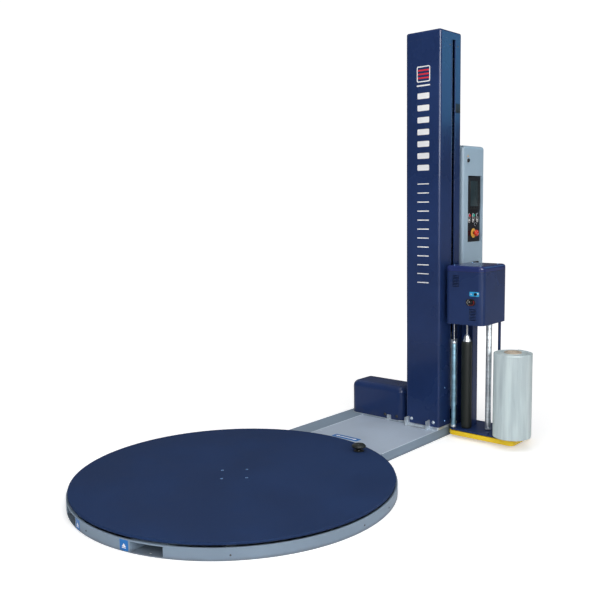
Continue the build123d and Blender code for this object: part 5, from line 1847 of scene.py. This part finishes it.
    def lock(self) -> None:
        """Quarter-turn lock with a key slot, its rosette and a small yellow flash label."""
        barrel, cover = Extent.of("cover_lock"), Extent.of("cabinet_cover")
        radius, reach = barrel.size.x / 2, cover.lo.y - barrel.lo.y
        seat = Seat.on(Side.MINUS_Y, barrel.mid.x, cover.lo.y, barrel.mid.z)
        slot_r = 0.42 * radius
        outside = [(radius, INK), (radius, reach - 2 * MM), (0.8 * radius, reach), (1.2 * slot_r, reach)]
        shape = [(0, INK), *softened(outside, 1 * MM), (slot_r, reach - INK), (slot_r, reach - 5 * MM),
                 (0, reach - 5.2 * MM)]
        turn = Solid().turned(seat, shape, 60, rule=hex_socket(slot_r))
        turn.turned(seat, [(radius - 4 * MM, cover.lo.y - barrel.hi.y), (radius - 4 * MM, 0.5 * MM)], 32)
        self.bench.add(turn, "lock_barrel", Body.LOCK, Stock.PLASTIC, ["cover_lock"])
        inner, top = radius + 0.4 * MM, 1.2 * MM
        ring = [(inner, -INK), (radius + 3 * MM, -INK), (radius + 2.4 * MM, top), (inner, top)]
        self.bench.add(Solid().turned(seat, ring, 48, closed=True), "lock_rosette", Body.BASE, Stock.ZINC)
        label = Solid().prism(seat.moved(0, 26 * MM), self.lock_mark, 0.4 * MM, start=-0.4 * MM)
        self.bench.add(label, "lock_label", Body.BASE, Stock.YELLOW_RING)

    def seams(self) -> None:
        """Rubber seal between the cabinet's body and its lift-off front, and screws on the lugs."""
        body = Extent.of("cabinet_body")
        cover = Extent.of("cabinet_cover")
        seat = Seat.on(Side.MINUS_Y, cover.mid.x, cover.hi.y, cover.mid.z)
        outline = rounded_rectangle(cover.size.x, cover.size.z, 3 * MM)
        seal = Solid().border(seat, inset(outline, -0.05 * MM), 3 * MM, self.gasket_t / 2, -self.gasket_t / 2)
        self.bench.add(seal, "cabinet_seal", Body.BASE, Stock.RUBBER)
        screws = Solid()
        mast = Extent.of("mast_column")
        for z in (body.lo.z + self.lug_bolt_ends[0], body.hi.z - self.lug_bolt_ends[1]):
            for side, inset_y in zip((Side.MINUS_Y, Side.PLUS_Y), self.lug_bolt_insets):
                place = Seat.on(side, (mast.hi.x + cover.lo.x) / 2, body.lo.y + inset_y, z)
                Fastener.hex_bolt(screws, place, 7 * MM, 5 * MM)
        self.bench.add(screws, "lug_bolts", Body.BASE, Stock.ZINC)


# ------------------------------------------------------------------ studio
@dataclass(frozen=True)
class SoftBox:
    """A rectangular light that the camera doesn't see."""

    place: Triple
    target: Triple
    size: tuple[float, float]
    power: float
    colour: Colour = (1.0, 1.0, 1.0)
    mirrored_only: bool = False

    def hang(self, name: str) -> None:
        """Puts the light into the scene, facing its target."""
        data = bpy.data.lights.new(name, "AREA")
        data.shape, data.energy, data.color = "RECTANGLE", self.power, self.colour
        data.size, data.size_y = self.size
        light = bpy.data.objects.new(name, data)
        light.location = self.place
        light.visible_camera = False
        if self.mirrored_only:
            light.visible_diffuse = False
        way = Vector(self.target) - Vector(self.place)
        light.rotation_euler = way.to_track_quat("-Z", "Y").to_euler()
        bpy.context.scene.collection.objects.link(light)


@dataclass
class Studio:
    """Floor, soft light and the camera."""

    camera_at: tuple[float, float, float] = (-2.691, -2.857707, 1.449007)
    azimuth: float = -48.42
    elevation: float = 6.967
    roll: float = -0.965
    lens: float = 47.303
    floor_r: float = 60.0
    sky: float = 0.34
    glossy_sky: float = 0.1
    shown_sky: float = 1.05
    glow_reach: tuple[float, float] = (1.8, 5.0)
    near_glow: float = 0.42
    far_glow: float = 0.74
    boxes: ClassVar[dict[str, SoftBox]] = {
        "top_box": SoftBox((0.3, -0.8, 4.6), (0.4, 0.0, 0.0), (4.0, 4.0), 80.0),
        "left_strip": SoftBox((-2.68, -1.45, 1.9), (1.38, -0.36, 1.6), (0.7, 2.3), 34.0),
        "front_strip": SoftBox((-1.32, -3.58, 1.9), (1.38, -0.36, 1.6), (0.7, 2.3), 26.0),
        "right_strip": SoftBox((1.23, -4.56, 2.3), (1.38, -0.36, 1.9), (0.7, 2.3), 8.0),
        "low_box": SoftBox((0.3, -3.3, 0.5), (1.55, -0.7, 0.15), (1.6, 0.5), 4.0),
        "back_box": SoftBox((2.6, 4.2, 3.2), (1.0, 0.0, 0.8), (3.0, 2.0), 26.0),
        "corner_panel": SoftBox((-0.97, -4.2, 2.9), (1.38, -0.36, 2.2), (3.4, 2.4), 420.0,
                                mirrored_only=True),
        "blue_panel": SoftBox((4.3, -1.95, 3.0), (1.58, -0.36, 2.2), (1.6, 1.6), 17.0, (0.16, 0.6, 1.0),
                              mirrored_only=True)}

    def build(self) -> None:
        """Builds everything that is not part of the machine."""
        self.floor()
        self.world()
        self.lights()
        self.camera()
        bpy.context.scene.view_settings.view_transform = "Standard"

    def floor(self) -> None:
        """Wide pale floor."""
        solid = Solid().prism(Seat.on(Side.TOP, 0, 0, 0), circle(self.floor_r, 96), -0.2 * MM, start=-0.05)
        floor = solid.made("studio_floor")
        material = bpy.data.materials.new("pale_floor")
        material.use_nodes = True
        graph, shader = Graph(material.node_tree), material.node_tree.nodes["Principled BSDF"]
        drift = graph.effect(OrangePeel, Scale=120.0)
        colour = graph.mix(drift["Drift"], (0.9, 0.9, 0.9), (0.93, 0.93, 0.93))
        graph.feed(shader.inputs["Base Color"], colour)
        away = graph.vector("LENGTH", graph.place())
        glow = graph.remap(away, *self.glow_reach, self.near_glow, self.far_glow)
        seen = graph.add("ShaderNodeLightPath").outputs["Is Camera Ray"]
        glow = graph.math("MULTIPLY", glow, seen)
        graph.feed(shader.inputs["Emission Color"], graph.combine(glow, glow, glow))
        shader.inputs["Emission Strength"].default_value = 1.0
        shader.inputs["Roughness"].default_value = 0.9
        shader.inputs["Specular IOR Level"].default_value = 0.1
        floor.data.materials.append(material)

    def world(self) -> None:
        """White surroundings that light the machine a little less than they show."""
        world = bpy.data.worlds.new("studio_world")
        bpy.context.scene.world = world
        world.use_nodes = True
        graph = Graph(world.node_tree)
        ground = world.node_tree.nodes["Background"]
        path = graph.add("ShaderNodeLightPath")
        lit = graph.remap(path.outputs["Is Glossy Ray"], 0.0, 1.0, self.sky, self.glossy_sky)
        graph.feed(ground.inputs["Color"], (1.0, 1.0, 1.0))
        graph.feed(ground.inputs["Strength"], graph.remap(path.outputs["Is Camera Ray"], 0.0, 1.0, lit,
                                                             self.shown_sky))

    def lights(self) -> None:
        """Soft boxes above and behind, tall strips in front and two panels that are only mirrored."""
        for name, box in self.boxes.items():
            box.hang(name)

    def camera(self) -> None:
        """Camera at the reference view."""
        a, e, r = (math.radians(angle) for angle in (self.azimuth, self.elevation, self.roll))
        back = Vector((math.sin(a) * math.cos(e), -math.cos(a) * math.cos(e), math.sin(e)))
        level = (-back).cross(Vector((0, 0, 1))).normalized()
        upright = level.cross(-back)
        right = level * math.cos(r) + upright * math.sin(r)
        up = upright * math.cos(r) - level * math.sin(r)
        data = bpy.data.cameras.new("studio_camera")
        data.lens, data.sensor_width, data.clip_end = self.lens, 36.0, 200.0
        camera = bpy.data.objects.new("studio_camera", data)
        turn = Matrix((right, up, back)).transposed().to_4x4()
        camera.matrix_world = Matrix.Translation(self.camera_at) @ turn
        bpy.context.scene.collection.objects.link(camera)
        bpy.context.scene.camera = camera


def main() -> None:
    """Builds every assembly in order."""
    logging.basicConfig(level=logging.INFO, format="%(name)s: %(message)s")
    Studio().build()
    bench = Bench(frame["nodes"])
    for assembly in (Foundation, Turntable, ChainDrive, Mast, Lift, Carriage, FilmReel, Cabinet):
        assembly(bench).build()
        LOG.info("%s is done", assembly.__name__)
    if bench.undressed():
        LOG.warning("still plain: %s", ", ".join(bench.undressed()))


if __name__ == "__main__":
    main()
